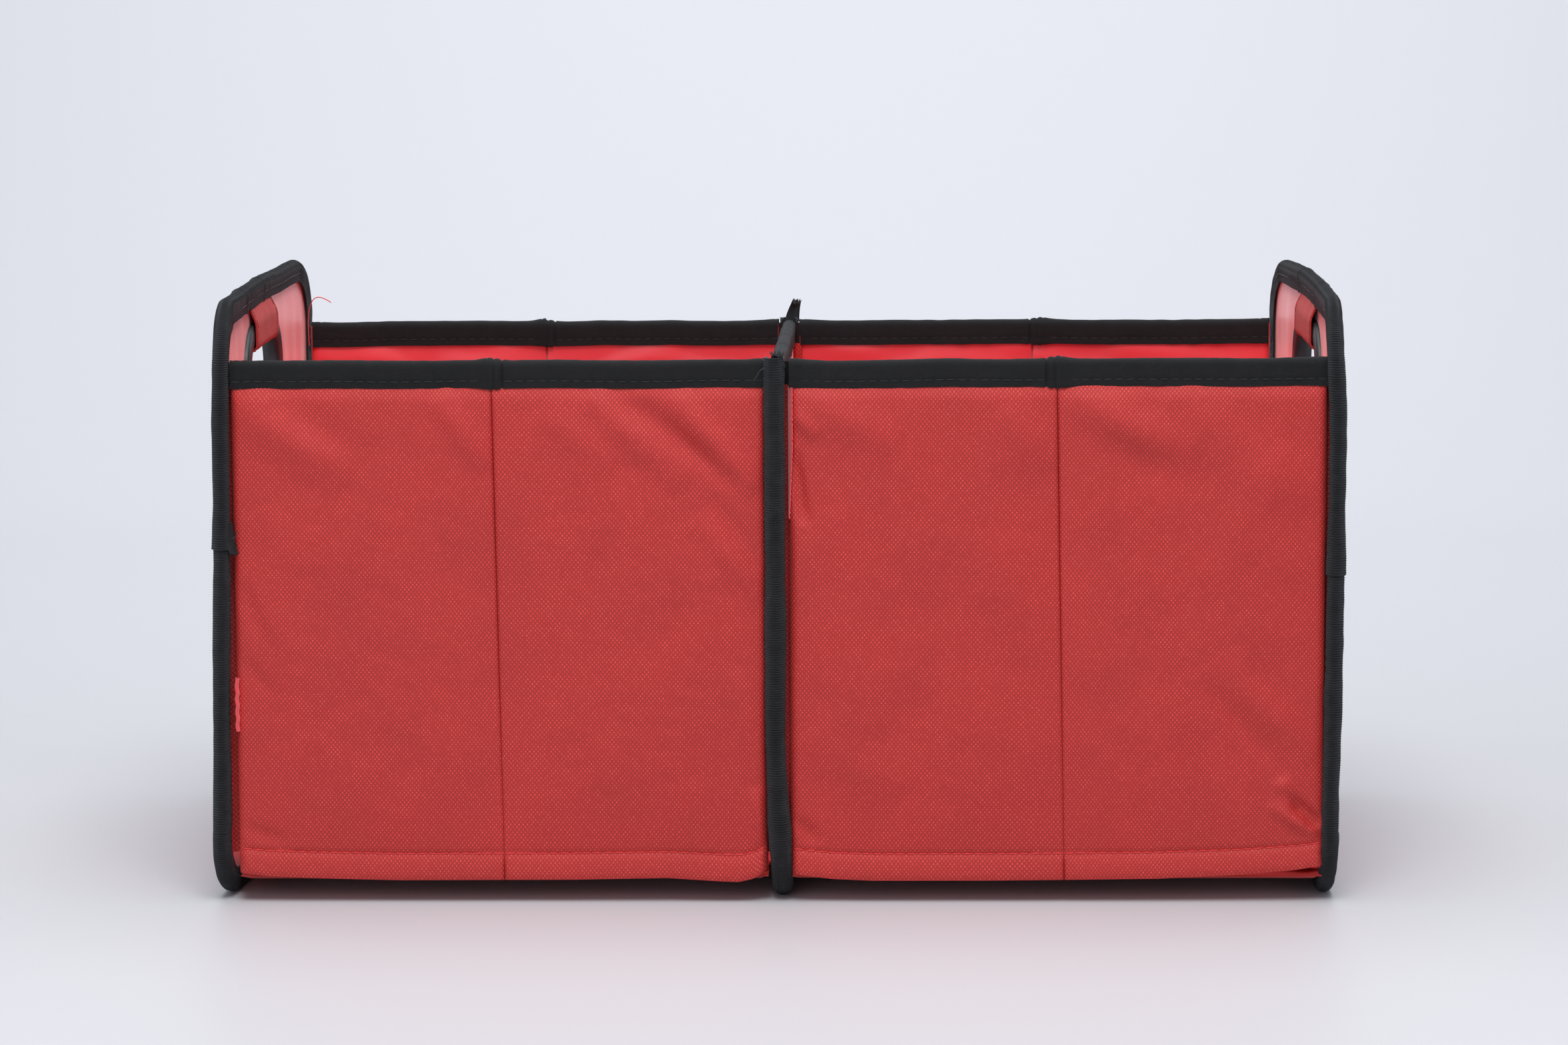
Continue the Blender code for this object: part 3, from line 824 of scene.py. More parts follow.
def hem_rise(x, z, side_name):
    """How far the hem's foot is drawn up or hangs at each distance from the divider, fading with height."""
    places, rises = np.array(HEM_FOOT[side_name], float).T * MM
    return np.interp(x, places, rises) * between(z, WALL_BOTTOM + 44 * MM, WALL_BOTTOM)


# How far each mid seam stands outwards at its top and at its foot, in millimetres
SEAM_LEAN = {"left": (4.2, 0.3), "right": (0.6, 5.2)}


def leaned(x, z, side_name):
    """Distances along X, moved with the mid seam, which is sewn a little out of plumb."""
    high, low = SEAM_LEAN[side_name]
    rise = np.clip((z - WALL_BOTTOM) / (WALL_TAPE_EDGE - WALL_BOTTOM), 0.0, 1.0)
    shift = (low + (high - low) * rise) * MM
    return x + shift * bell(x - MIDDLE_SEAM, 30 * MM)


def as_in_front(side_name, face_name):
    """The side of the front whose folds and seam a wall repeats: the back is the front turned round."""
    if face_name == "front":
        return side_name
    return "right" if side_name == "left" else "left"


def wall_half(side_name, face_name, half):
    """The outer cloth, the lining and the hem's stitches of one wall half."""
    side, face = SIDES[side_name], FACES[face_name]
    name = face_name + "_" + half + "_" + side_name
    low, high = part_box(name + "_cover")
    near, outer = sorted((abs(low.x), abs(high.x)))
    if half == "outer":
        near = outer
    fullness = sizes().wall_fullness
    x, set_in, along = wall_plan(near, MIDDLE_SEAM, 4.2 * MM, 5.5 * MM + fullness)
    z, set_under, across = wall_heights(WALL_BOTTOM, WALL_TOP - TUCKED_BELOW_TOP, 5.0 * MM)
    across_x, up_z = np.meshgrid(x, z, indexing="ij")
    fold_side = as_in_front(side_name, face_name)
    folds = FRONT_FOLDS[half + "_" + fold_side]
    seen_side = SIDES[fold_side]
    seed = 3 * list(FRONT_FOLDS).index(half + "_" + fold_side) + (7 if face_name == "back" else 0)
    puff = wall_puff(across_x * seen_side, up_z, near * seen_side, MIDDLE_SEAM * seen_side, folds, seed)
    eased = [np.clip(1 - inset / (1.5 * MM), 0, 1) for inset in (set_in, set_under)]
    ease = eased[0][:, None] * eased[1][None, :]
    puff = fullness * (1 - ease) * 0.9 + puff * ease
    by_seam = across_x > MIDDLE_SEAM - 5 * MM
    seam_depth = np.where(by_seam, 0.3 + 0.7 * between(up_z, 30 * MM, 220 * MM), 1.0)
    depth = WALL_FACE + puff - set_in[:, None] * seam_depth - set_under[None, :]
    rise = hem_rise(across_x, up_z, fold_side)
    across_x = leaned(across_x, up_z, fold_side)
    points = np.stack([side * across_x, face * depth, up_z + rise], axis=-1)
    cloth = cloth_piece(name + "_cloth", points, along, across, (0, face, 0), OUTER_THICKNESS)
    finish_piece(cloth, "woven_cloth", name, [name + "_cover"])
    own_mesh(cloth)
    row = int(np.argmin(np.abs(z - sizes().hem_line)))
    line = points[set_in < 1.0 * MM][:, row] + np.array((0, face * 0.3 * MM, 0))
    stitches = stitch_row(name + "_hem_stitches", line, np.tile((0.0, face, 0.0), (len(line), 1)),
                          "red_thread", name, 0.93)
    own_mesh(stitches)
    wall_lining(side_name, face_name, half, near, seed)


def wall_lining(side_name, face_name, half, near, seed):
    """The coated lining of one wall half, a little slack along its top."""
    side, face = SIDES[side_name], FACES[face_name]
    name = face_name + "_" + half + "_" + side_name
    x, set_in, along = wall_plan(near, MIDDLE_SEAM, 1.2 * MM, 1.2 * MM, 2.2 * MM)
    z, set_under, across = wall_heights(WALL_BOTTOM + 4 * MM, WALL_TOP - TUCKED_BELOW_TOP, 1.0 * MM, 2.6 * MM)
    across_x, up_z = np.meshgrid(x, z, indexing="ij")
    share = np.clip((across_x - near) / (MIDDLE_SEAM - near), 0, 1)
    rise = np.clip((up_z - z[0]) / (WALL_TAPE_EDGE - z[0]), 0, 1)
    swell = (1 - np.abs(2 * share - 1) ** 2.4) * (1 - np.abs(2 * rise - 1) ** 4)
    slack = 0.5 * waves(seed + 20, 60 * MM)(across_x, up_z * 0.35) * (0.25 + swell)
    below_tape = bell(WALL_TAPE_EDGE - 7 * MM - up_z, 8 * MM)
    pucker = 0.8 * below_tape * waves(seed + 30, 24 * MM)(across_x * 0.5, up_z)
    inward = np.clip(sizes().lining_crown * swell + (slack + pucker) * MM, -0.2 * MM, 2.2 * MM)
    depth = WALL_INSIDE + set_in[:, None] + set_under[None, :] - inward
    points = np.stack([side * across_x, face * depth, up_z], axis=-1)
    lining = cloth_piece(name + "_lining_cloth", points, along, across, (0, -face, 0), LINING_THICKNESS)
    finish_piece(lining, "coated_cloth", name, [name + "_lining"])
    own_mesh(lining)


# Tapes

def tape_section(half, leg_half, reach, crown_steps=9, leg_steps=3):
    """A folded tape's closed section: (inwards, sideways) points from one leg round the crown."""
    thick = TAPE_THICKNESS
    crown = half * 0.95
    angle = np.linspace(math.pi / 2, -math.pi / 2, crown_steps + 1)
    arc = np.column_stack([crown - crown * np.cos(angle), half * np.sin(angle)])
    leg = np.linspace(1.0, 0.0, leg_steps + 1)[:-1, None]
    first = np.hstack([crown + (reach - crown) * leg, half + (leg_half - half) * leg])
    last = first[::-1] * (1, -1)
    outer = np.vstack([first, arc, last])
    inner_half = leg_half - thick
    inner = np.array([
        (reach, -inner_half), (thick * 2.5, -inner_half), (thick * 2.5, inner_half), (reach, inner_half),
    ])
    loop = np.vstack([outer, inner, outer[:1]])
    return loop, len(outer)


def swept_tape(name, path, normals, section, outer_count, place, relief=None):
    """A tape swept along a plane path. place turns (path point, sideways) into space."""
    inward = np.repeat(section[None, :, 0], len(path), axis=0)
    sideways = np.repeat(section[None, :, 1], len(path), axis=0)
    gaps = np.linalg.norm(np.diff(path, axis=0), axis=1)
    run = np.concatenate(([0.0], np.cumsum(gaps)))
    if relief is not None:
        out_in, out_side = section_normals(inward, sideways)
        lift = relief(path, run, inward, sideways)
        lift[:, outer_count:-1] = 0.0
        inward, sideways = inward + out_in * lift, sideways + out_side * lift
        for grid in (inward, sideways):
            grid[:, -1] = grid[:, 0]
            if np.allclose(path[0], path[-1]):
                grid[-1] = grid[0]
    flat = path[:, None, :] + normals[:, None, :] * inward[..., None]
    points = place(flat, sideways)
    round_gaps = np.linalg.norm(np.diff(section, axis=0), axis=1).sum()
    return wrap_grid(name, points, run[-1], round_gaps)


def section_normals(inward, sideways):
    """Outward directions of a section, for raising its surface."""
    ahead_in = np.gradient(inward, axis=1)
    ahead_side = np.gradient(sideways, axis=1)
    size = np.hypot(ahead_in, ahead_side) + 1e-12
    return ahead_side / size, -ahead_in / size


def nearest_run(path, run, place):
    """The run along a path at its nearest point to a place, both in the path's plane."""
    away = np.hypot(path[:, 0] - place[0] * MM, path[:, 1] - place[1] * MM)
    return run[int(np.argmin(away))]


RIB_SAG = 0.55 * MM
RIBBED_STITCH_DEPTH = 8.0 * MM
STITCH_GROOVE = 0.7 * MM


def ribbed_relief(seed, bumps=(), laps=()):
    """Ribs that sag across the tape, with its uneven fold, bunched places and lapped ends.

    A bump is (place, width, height) and a lap (place, reach, height), with the place in the path's
    plane. A lap swells along its reach and ends sharply at its place.
    """
    def relief(path, run, inward, sideways):
        half = np.abs(sideways).max()
        sag = RIB_SAG * (1 - (sideways / half) ** 2)
        along = run[:, None]
        pitch = run[-1] / round(run[-1] / sizes().rib_pitch)
        lift = sizes().rib_height * np.cos(2 * np.pi * (along - sag) / pitch)
        lift = lift * (1 - 0.45 * between(inward, 5 * MM, 9 * MM))
        lift = lift + 0.28 * MM * waves(seed, 60 * MM)(along, sideways * 3)
        lift = lift + 0.10 * MM * waves(seed + 4, 12 * MM)(along, sideways)
        lift = lift - 0.4 * MM * bell(inward - RIBBED_STITCH_DEPTH, STITCH_GROOVE)
        for place, width, height in bumps:
            lift = lift + height * MM * bell(along - nearest_run(path, run, place), width * MM)
        for place, reach, height in laps:
            away = nearest_run(path, run, place) - along
            lift = lift + height * MM * (away >= 0) * np.clip(1 - away / (reach * MM), 0, 1)
        return lift
    return relief


def leg_stitches(name, path, normals, section, place, body, depth=RIBBED_STITCH_DEPTH):
    """Black stitches along both legs of a folded tape, at a depth from its fold."""
    rows = []
    upper = section[section[:, 1] > 0]
    order = np.argsort(upper[:, 0])
    half = np.interp(depth, upper[order, 0], upper[order, 1])
    line = (path + normals * depth)[:, None, :]
    for word, way in (("_stitches_a", 1), ("_stitches_b", -1)):
        row = place(line, np.full((len(path), 1), way * (half - 0.1 * MM)))[:, 0]
        spread = place(line, np.full((len(path), 1), way * (half + 1.0 * MM)))[:, 0] - row
        rows.append(stitch_row(name + word, row, spread, "black_thread", body))
    return rows


END_TAPE_BUMPS = {
    "left": {
        "bumps": [
            ((-58, 326), 2.2, 0.7), ((-44, 326), 3.0, -0.5), ((8, 326), 2.0, 0.7), ((26, 326), 4.0, 0.4),
        ],
        "laps": [((-160, 191), 26, 1.0)],
    },
    "right": {
        "bumps": [
            ((-36, 326), 3.0, 0.5), ((40, 326), 2.5, 0.6), ((-160, 110), 9, 0.4), ((-160, 60), 7, -0.3),
        ],
        "laps": [((-160, 176), 34, 0.9)],
    },
}
DIVIDER_EDGE_BUMPS = [((-160, 38), 12, 0.5), ((-160, 150), 14, 0.3), ((-160, 236), 10, 0.25)]
DIVIDER_TOP_BUMPS = [
    ((-96, 290), 3.0, 0.5), ((-42, 290), 2.2, 0.6), ((35, 290), 3.0, 0.5), ((98, 290), 3.0, 0.4),
]


def end_tape(side_name):
    """The ribbed tape bound all round an end panel."""
    side = SIDES[side_name]
    name = "end_" + side_name
    corners = [
        (-PANEL_DEPTH, 0.0, END_CORNER), (PANEL_DEPTH, 0.0, END_CORNER),
        (PANEL_DEPTH, END_TOP, END_CORNER), (-PANEL_DEPTH, END_TOP, END_CORNER),
    ]
    path = rounded_line(corners, sizes().rib_pitch / 4, closed=True)[0]
    normals = path_normals(path, True)
    section, outer_count = tape_section(END_HALF - RIB_ROOM, END_SHEET + TAPE_STANDS_OFF, TAPE_REACH)

    def place(flat, sideways):
        points = np.stack([side * (END_MIDDLE + sideways), flat[..., 0], flat[..., 1]], axis=-1)
        return bowed(points, side)

    tape = swept_tape(name + "_tape", path, normals, section, outer_count, place,
                      ribbed_relief(11 + side, **END_TAPE_BUMPS[side_name]))
    close_solid(tape)
    finish_piece(tape, "ribbed_tape", name, [name + "_binding"])
    leg_stitches(name, path, normals, section, place, name)


def divider_tapes():
    """The ribbed tape round the divider's feet and ends, and the flat tape over its top."""
    top = DIVIDER_TOP - 1.5 * MM
    corners = [
        (-PANEL_DEPTH, top, 0.0), (-PANEL_DEPTH, 0.0, DIVIDER_CORNER),
        (PANEL_DEPTH, 0.0, DIVIDER_CORNER), (PANEL_DEPTH, top, 0.0),
    ]
    path = rounded_line(corners, sizes().rib_pitch / 4)[0]
    normals = path_normals(path, False)
    section, outer_count = tape_section(DIVIDER_HALF - RIB_ROOM, DIVIDER_SHEET + TAPE_STANDS_OFF, TAPE_REACH)

    def place(flat, sideways):
        front = between(-flat[..., 0], 100 * MM, 150 * MM)
        lean = front * (3.2 * MM * between(flat[..., 1], 90 * MM, 0.0) - 1.6 * MM)
        return np.stack([sideways + lean, flat[..., 0], flat[..., 1]], axis=-1)

    tape = swept_tape("divider_edge_tape", path, normals, section, outer_count, place,
                      ribbed_relief(5, bumps=DIVIDER_EDGE_BUMPS))
    close_solid(tape)
    finish_piece(tape, "ribbed_tape", "divider", ["divider_edge_binding"])
    leg_stitches("divider", path, normals, section, place, "divider")
    run = PANEL_DEPTH - TAPE_REACH - 0.3 * MM
    path = rounded_line([(-run, WALL_TOP, 0.0), (run, WALL_TOP, 0.0)], 1.0 * MM)[0]
    top_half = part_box("divider_top_binding")[1].x
    section, outer_count = tape_section(top_half, top_half - 0.4 * MM, TAPE_REACH)
    tape = swept_tape("divider_top_tape", path, -path_normals(path, False), section, outer_count, place,
                      plain_relief(31, TAPE_REACH - 4 * MM, bumps=DIVIDER_TOP_BUMPS))
    close_solid(tape)
    finish_piece(tape, "twill_tape", "divider", ["divider_top_binding"])


# Grooves across a bunched place: their distance from its middle in millimetres, and their share of its height
BUNCH_GROOVES = ((-5.6, 0.8), (-1.5, 0.6), (2.2, 0.35))
BUNCH_GROOVE_WIDTH = 0.6 * MM


def plain_relief(seed, stitch_depth, bumps=(), bunches=()):
    """An uneven fold with bumps, bunched places and a stitched groove near the tape's edge."""
    def relief(path, run, inward, sideways):
        along = run[:, None]
        lift = 0.2 * MM * waves(seed, 45 * MM)(along, inward * 2)
        lift = lift + 0.08 * MM * waves(seed + 6, 9 * MM)(along, inward * 0.4)
        lift = lift - 0.35 * MM * bell(inward - stitch_depth, STITCH_GROOVE)
        for place, width, height in bumps:
            lift = lift + height * MM * bell(along - nearest_run(path, run, place), width * MM)
        for where, width, height in bunches:
            lift = lift + height * bell(along - where, width)
            for beside, deep in BUNCH_GROOVES:
                lift = lift - deep * height * bell(along - where - beside * MM, BUNCH_GROOVE_WIDTH)
        return lift
    return relief


def wall_tape(side_name, face_name, half):
    """The close-woven tape folded over a wall half's top edge."""
    side, face = SIDES[side_name], FACES[face_name]
    name = face_name + "_" + half + "_" + side_name
    low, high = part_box(name + "_binding")
    near, far = sorted((abs(low.x), abs(high.x)))
    ends = (near, MIDDLE_SEAM) if half == "inner" else (MIDDLE_SEAM, far)
    path, length = rounded_line([(ends[0], WALL_TOP, 0.0), (ends[1], WALL_TOP, 0.0)], 0.65 * MM)
    reach = WALL_TOP - WALL_TAPE_EDGE + 0.8 * MM
    leg_half = WALL_TAPE_HALF - 0.1 * MM
    section, outer_count = tape_section(WALL_TAPE_HALF, leg_half, reach, crown_steps=8, leg_steps=12)
    seam = length if half == "inner" else 0.0
    seed = 60 + len(name) + side + 3 * face
    wave = waves(seed + 8, 110 * MM)

    def place(flat, sideways):
        loose = np.clip((flat[..., 0] - near) / (20 * MM), 0, 1)
        droop = 0.7 * MM * wave(flat[..., 0], flat[..., 0] * 0) * loose
        x = leaned(flat[..., 0], flat[..., 1], as_in_front(side_name, face_name))
        return np.stack([side * x, face * WALL_MIDDLE + sideways, flat[..., 1] - np.abs(droop)], axis=-1)

    bunches = [(seam, 6 * MM, 1.2 * MM), (length - seam, 9 * MM, 0.35 * MM)]
    stitch_depth = reach - 3.8 * MM
    normals = -path_normals(path, False)
    tape = swept_tape(name + "_tape", path, normals, section, outer_count, place,
                      plain_relief(seed, stitch_depth, bunches=bunches))
    close_solid(tape)
    finish_piece(tape, "twill_tape", name, [name + "_binding"])
    rows = leg_stitches(name, path, normals, section, place, name, stitch_depth)
    for piece in (tape, *rows):
        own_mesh(piece)


# Cloth across the hinges

def hinge_cloths(side_name, face_name):
    """Narrow strips of cloth and tape that join a wall's halves to each other and to their panels."""
    side, face = SIDES[side_name], FACES[face_name]
    inner, outer = face_name + "_inner_" + side_name, face_name + "_outer_" + side_name
    end = "end_" + side_name
    wall_near = abs(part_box(inner + "_cover")[0 if side > 0 else 1].x)
    wall_far = abs(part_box(outer + "_cover")[1 if side > 0 else 0].x)
    skin = WALL_FACE - 4.0 * MM
    inside = WALL_INSIDE + 1.1 * MM
    strips = [
        (inner + "_panel", "divider", inner, wall_near - 4.0 * MM, wall_near + 1.4 * MM, skin, -2.0),
        (outer + "_panel", outer, end, wall_far - 1.4 * MM, wall_far + 5.0 * MM, skin, -2.0),
        (inner + "_seam", inner, outer, MIDDLE_SEAM - 1.6 * MM, MIDDLE_SEAM + 1.6 * MM, inside, 1.4),
    ]
    for name, first, second, start, stop, depth, dip in strips:
        if face_name == "back" and first == outer:
            # The ring of walls is open at this corner.
            continue
        for word, low, high, material, slot in (
            ("_strip", WALL_BOTTOM + 12 * MM, WALL_TAPE_EDGE, "woven_cloth", "outer_fabric"),
            ("_strip_top", WALL_TAPE_EDGE, WALL_TOP - 1.5 * MM, "twill_tape", "binding_tape"),
        ):
            share = np.linspace(0.0, 1.0, 9)[:, None]
            z = np.linspace(low, high, 25)[None, :]
            x = start + (stop - start) * share + 0 * z
            y = depth + dip * MM * np.sin(np.pi * share) + 0 * z
            points = np.stack([side * x, face * y, z + 0 * share], axis=-1)
            strip = cloth_piece(name + word, points, 6 * MM, high - low, (0, face, 0), LINING_THICKNESS)
            finish_piece(strip, material)
            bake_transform(strip)


# Cloth of the end panels and the divider

def panel_grid(edges, radius, inset, columns, rows):
    """Points spread over a rounded panel, in (across, up), from a grid squeezed into its outline."""
    low_a, high_a, low_b, high_b = edges
    u = np.linspace(-1.0, 1.0, columns + 1)[:, None] * np.ones(rows + 1)
    v = np.linspace(-1.0, 1.0, rows + 1)[None, :] * np.ones(columns + 1)[:, None]
    half_a, half_b = (high_a - low_a) / 2 - inset, (high_b - low_b) / 2 - inset
    a, b = u * half_a, v * half_b
    rounding = max(radius - inset, 1 * MM)
    over_a = np.clip(np.abs(a) - (half_a - rounding), 0, None)
    over_b = np.clip(np.abs(b) - (half_b - rounding), 0, None)
    reach = np.hypot(over_a, over_b)
    largest = np.maximum(over_a, over_b)
    shrink = np.where(reach > 1e-9, largest / np.maximum(reach, 1e-9), 1.0)
    a = np.sign(a) * (np.abs(a) - over_a + over_a * shrink)
    b = np.sign(b) * (np.abs(b) - over_b + over_b * shrink)
    return a + (low_a + high_a) / 2, b + (low_b + high_b) / 2


def above_base_board(upward):
    """0 where a folded base board lies against a panel's lining, rising to 1 above it."""
    return between(upward, 150 * MM, 210 * MM)


def from_grip(across, upward):
    """Distance from the line between the centres of the handle hole's round ends."""
    return np.hypot(np.clip(np.abs(across) - GRIP_STRAIGHT, 0, None), upward - GRIP_CENTRE)


def end_cloth(side_name, outer):
    """The woven cover or the coated lining of an end panel, open round the handle."""
    side = SIDES[side_name]
    name = "end_" + side_name
    across, upward = panel_grid((-PANEL_DEPTH, PANEL_DEPTH, 0.0, END_TOP), END_CORNER, CLOTH_INSET, 120, 124)
    inside = np.minimum(PANEL_DEPTH - np.abs(across), np.minimum(upward, END_TOP - upward)) - TAPE_REACH
    swell = swelling(inside, 22 * MM)
    if outer:
        height = 1.3 * MM * swell + 0.35 * MM * waves(70 + side, 70 * MM)(across, upward) * swell
    else:
        drapes = waves(80 + side, 34 * MM)(across, upward * 0.22)
        height = (0.5 + 0.55 * drapes) * MM * swell * above_base_board(upward)
    ring_edge = GRIP_HEIGHT / 2 + FRAME_RIM
    press = np.clip((from_grip(across, upward) - ring_edge + 2 * MM) / (14 * MM), 0, 1)
    height = height * press
    out = side if outer else -side
    points = np.stack([side * END_MIDDLE + out * (END_SHEET + height), across, upward], axis=-1)
    kind = "_cover_cloth" if outer else "_lining_cloth"
    piece = wrap_grid(name + kind, bowed(points, side), 2 * PANEL_DEPTH, END_TOP)
    face_towards(piece, (out, 0, 0))
    open_handle_hole(piece)
    apply_modifier(piece, "SOLIDIFY", thickness=PANEL_CLOTH_THICKNESS, offset=-1.0)
    if outer:
        finish_piece(piece, "woven_cloth", name, [name + "_cover"])
    else:
        finish_piece(piece, "coated_cloth", name, [name + "_lining"])


def end_board(side_name):
    """The stiffener board of an end panel, bowed with its cloths."""
    name = "end_" + side_name + "_board"
    side = SIDES[side_name]
    low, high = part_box(name)
    radius = END_CORNER - high.z + END_TOP - 4 * MM
    across, upward = panel_grid((low.y, high.y, low.z, high.z), radius, 0.0, 80, 82)
    points = np.stack([across * 0 + (low.x + high.x) / 2, across, upward], axis=-1)
    piece = wrap_grid(name + "_sheet", bowed(points, side), high.y - low.y, high.z - low.z)
    open_handle_hole(piece)
    apply_modifier(piece, "SOLIDIFY", thickness=high.x - low.x, offset=0.0)
    return finish_piece(piece, "stiffener_board", "end_" + side_name, [name])


def open_handle_hole(piece):
    """Delete the faces of a panel's sheet that lie in the handle hole."""
    mesh = piece.data
    middles = np.empty(len(mesh.polygons) * 3)
    mesh.polygons.foreach_get("center", middles)
    middles = middles.reshape(-1, 3)
    chosen = from_grip(middles[:, 1], middles[:, 2]) < HOLE_IN_CLOTH
    edit_all(piece, lambda: bpy.ops.mesh.select_all(action="DESELECT"))
    mesh.polygons.foreach_set("select", chosen)
    bpy.ops.object.mode_set(mode="EDIT")
    bpy.ops.mesh.select_mode(type="FACE")
    bpy.ops.mesh.delete(type="FACE")
    bpy.ops.mesh.select_mode(type="VERT")
    bpy.ops.object.mode_set(mode="OBJECT")


def divider_cloth(out):
    """One of the divider's two faces of lining cloth."""
    edges = (-PANEL_DEPTH, PANEL_DEPTH, 0.0, WALL_TOP + DIVIDER_CORNER)
    across, upward = panel_grid(edges, DIVIDER_CORNER, CLOTH_INSET, 90, 90)
    top = WALL_TOP - 3.0 * MM
    upward = np.minimum(upward, top)
    inside = np.minimum(PANEL_DEPTH - np.abs(across), np.minimum(upward, WALL_TOP - upward)) - TAPE_REACH
    drapes = waves(90 + out, 40 * MM)(across, upward * 0.3)
    height = (0.45 + 0.4 * drapes) * MM * swelling(inside, 20 * MM) * above_base_board(upward)
    points = np.stack([out * (DIVIDER_SHEET + height), across, upward], axis=-1)
    node = "divider_cover" if out < 0 else "divider_lining"
    piece = cloth_piece(node + "_cloth", points, 2 * PANEL_DEPTH, WALL_TOP, (out, 0, 0), LINING_THICKNESS)
    finish_piece(piece, "coated_cloth", "divider", [node])


# Handles

def grip_outline(spacing):
    """The handle hole's round-ended outline in (across, up)."""
    length, height = GRIP_LENGTH / 2, GRIP_HEIGHT / 2
    radius = height * 0.999
    low, high = GRIP_CENTRE - height, GRIP_CENTRE + height
    corners = [(-length, low, radius), (length, low, radius), (length, high, radius), (-length, high, radius)]
    return rounded_line(corners, spacing, closed=True)[0]


def handle_frame(side_name, shell):
    """One moulded shell of a handle frame: a softly domed rim, with the tube on the inner one."""
    side = SIDES[side_name]
    node = "handle_frame_" + shell + "_" + side_name
    low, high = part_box(node)
    face = max(abs(abs(low.x) - END_MIDDLE), abs(abs(high.x) - END_MIDDLE))
    seat = END_SHEET + 0.3 * MM
    rim = FRAME_RIM
    hole = 0.0 if shell == "inner" else 1.9 * MM
    dome = np.linspace(0.0, math.pi, 15)
    middle, half = (rim + hole) / 2, (rim - hole) / 2
    crown = np.column_stack([middle - half * np.cos(dome), seat + (face - seat) * np.sin(dome) ** 0.42])
    if shell == "inner":
        tube = np.array([(0.0, -face + 0.9 * MM), (0.5 * MM, -face + 0.1 * MM), (1.2 * MM, -face + 0.1 * MM),
                         (1.6 * MM, -face + 0.7 * MM), (1.6 * MM, 0.0), (1.6 * MM, seat)])
        inner_wall = np.array([(0.0, seat * 0.5), (0.0, -seat * 0.5)])
        section = np.vstack([tube, [(rim * 0.5, seat)], crown[::-1], inner_wall, tube[:1]])
    else:
        section = np.vstack([crown, [(rim * 0.5, seat)], crown[:1]])
    path = grip_outline(1.4 * MM)
    normals = path_normals(path, True)
    through = -side if shell == "inner" else side

    def place(flat, sideways):
        points = np.stack([side * END_MIDDLE + through * sideways, flat[..., 0], flat[..., 1]], axis=-1)
        return bowed(points, side)

    section = section * (-1, 1)
    ring = swept_tape(node.replace("frame", "ring"), path, normals, section, 0, place)
    close_solid(ring)
    return finish_piece(ring, "moulded_plastic", "end_" + side_name, [node])


WRAP_HEM = 3.4 * MM


def grip_wrap(side_name):
    """The cloth wrap sewn round the grip: down inside, through the hole and up outside."""
    side = SIDES[side_name]
    node = "grip_wrap_" + side_name
    low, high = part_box(node)
    offset = max(abs(abs(low.x) - END_MIDDLE), abs(abs(high.x) - END_MIDDLE)) - 0.35 * MM
    flat = END_SHEET + 0.9 * MM
    top = high.z
    rim_top = GRIP_CENTRE + GRIP_HEIGHT / 2 + FRAME_RIM
    bottom = low.z + 0.4 * MM
    inside = [(-flat, top, 0.0), (-offset, rim_top + 1.5 * MM, 12 * MM), (-offset, bottom, 4.2 * MM)]
    outside = [(-a, b, radius) for a, b, radius in reversed(inside)]
    line, length = rounded_line(inside + outside, 0.8 * MM)
    half_width = (high.y - low.y) / 2
    across = np.linspace(-half_width, half_width, 76)
    run = np.linspace(0.0, length, len(line))
    run_grid, across_grid = np.meshgrid(run, across, indexing="ij")
    ruffle = 0.22 * MM * waves(41 + side, 26 * MM)(run_grid, across_grid)
    hem = 0.45 * MM * bell(half_width - np.abs(across_grid) - WRAP_HEM, 0.8 * MM)
    normals = path_normals(line, False)
    lift = ruffle - hem
    moved = line[:, None, :] - normals[:, None, :] * lift[..., None]
    points = np.stack([side * (END_MIDDLE + moved[..., 0]), across_grid, moved[..., 1]], axis=-1)
    wrap = wrap_grid("grip_wrap_cloth_" + side_name, bowed(points, side), length, 2 * half_width)
    apply_modifier(wrap, "SOLIDIFY", thickness=1.0 * MM, offset=0.0)
    close_solid(wrap)
    finish_piece(wrap, "woven_cloth", "end_" + side_name, [node])
    for word, edge in (("_stitches_a", -1), ("_stitches_b", 1)):
        seam = line - normals * 0.3 * MM
        where = np.full(len(line), edge * (half_width - WRAP_HEM))
        row = bowed(np.stack([side * (END_MIDDLE + seam[:, 0]), where, seam[:, 1]], axis=-1), side)
        out = np.stack([-side * normals[:, 0], where * 0, -normals[:, 1]], axis=-1)
        stitch_row(node + word, row, out, "wrap_thread", "end_" + side_name)


# Floor

def base_board(side_name, half):
    """A base board covered in lining cloth, with softened edges."""
    node = "base_board_" + half + "_" + side_name
    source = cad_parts[node]
    bpy.ops.object.select_all(action="DESELECT")
    piece = source.copy()
    piece.data = source.data.copy()
    piece.name = node + "_covered"
    piece.parent = None
    for key in list(piece.keys()):
        del piece[key]
    bpy.context.scene.collection.objects.link(piece)
    edit_all(
        piece,
        lambda: bpy.ops.mesh.remove_doubles(threshold=0.01 * MM),
        lambda: bpy.ops.mesh.dissolve_limited(angle_limit=math.radians(1)),
    )
    apply_modifier(
        piece, "BEVEL", width=1.0 * MM, segments=3, limit_method="ANGLE", angle_limit=math.radians(40))
    edit_all(piece, lambda: bpy.ops.uv.cube_project(cube_size=1.0))
    return finish_piece(piece, "coated_cloth", "base_" + half + "_" + side_name, [node])


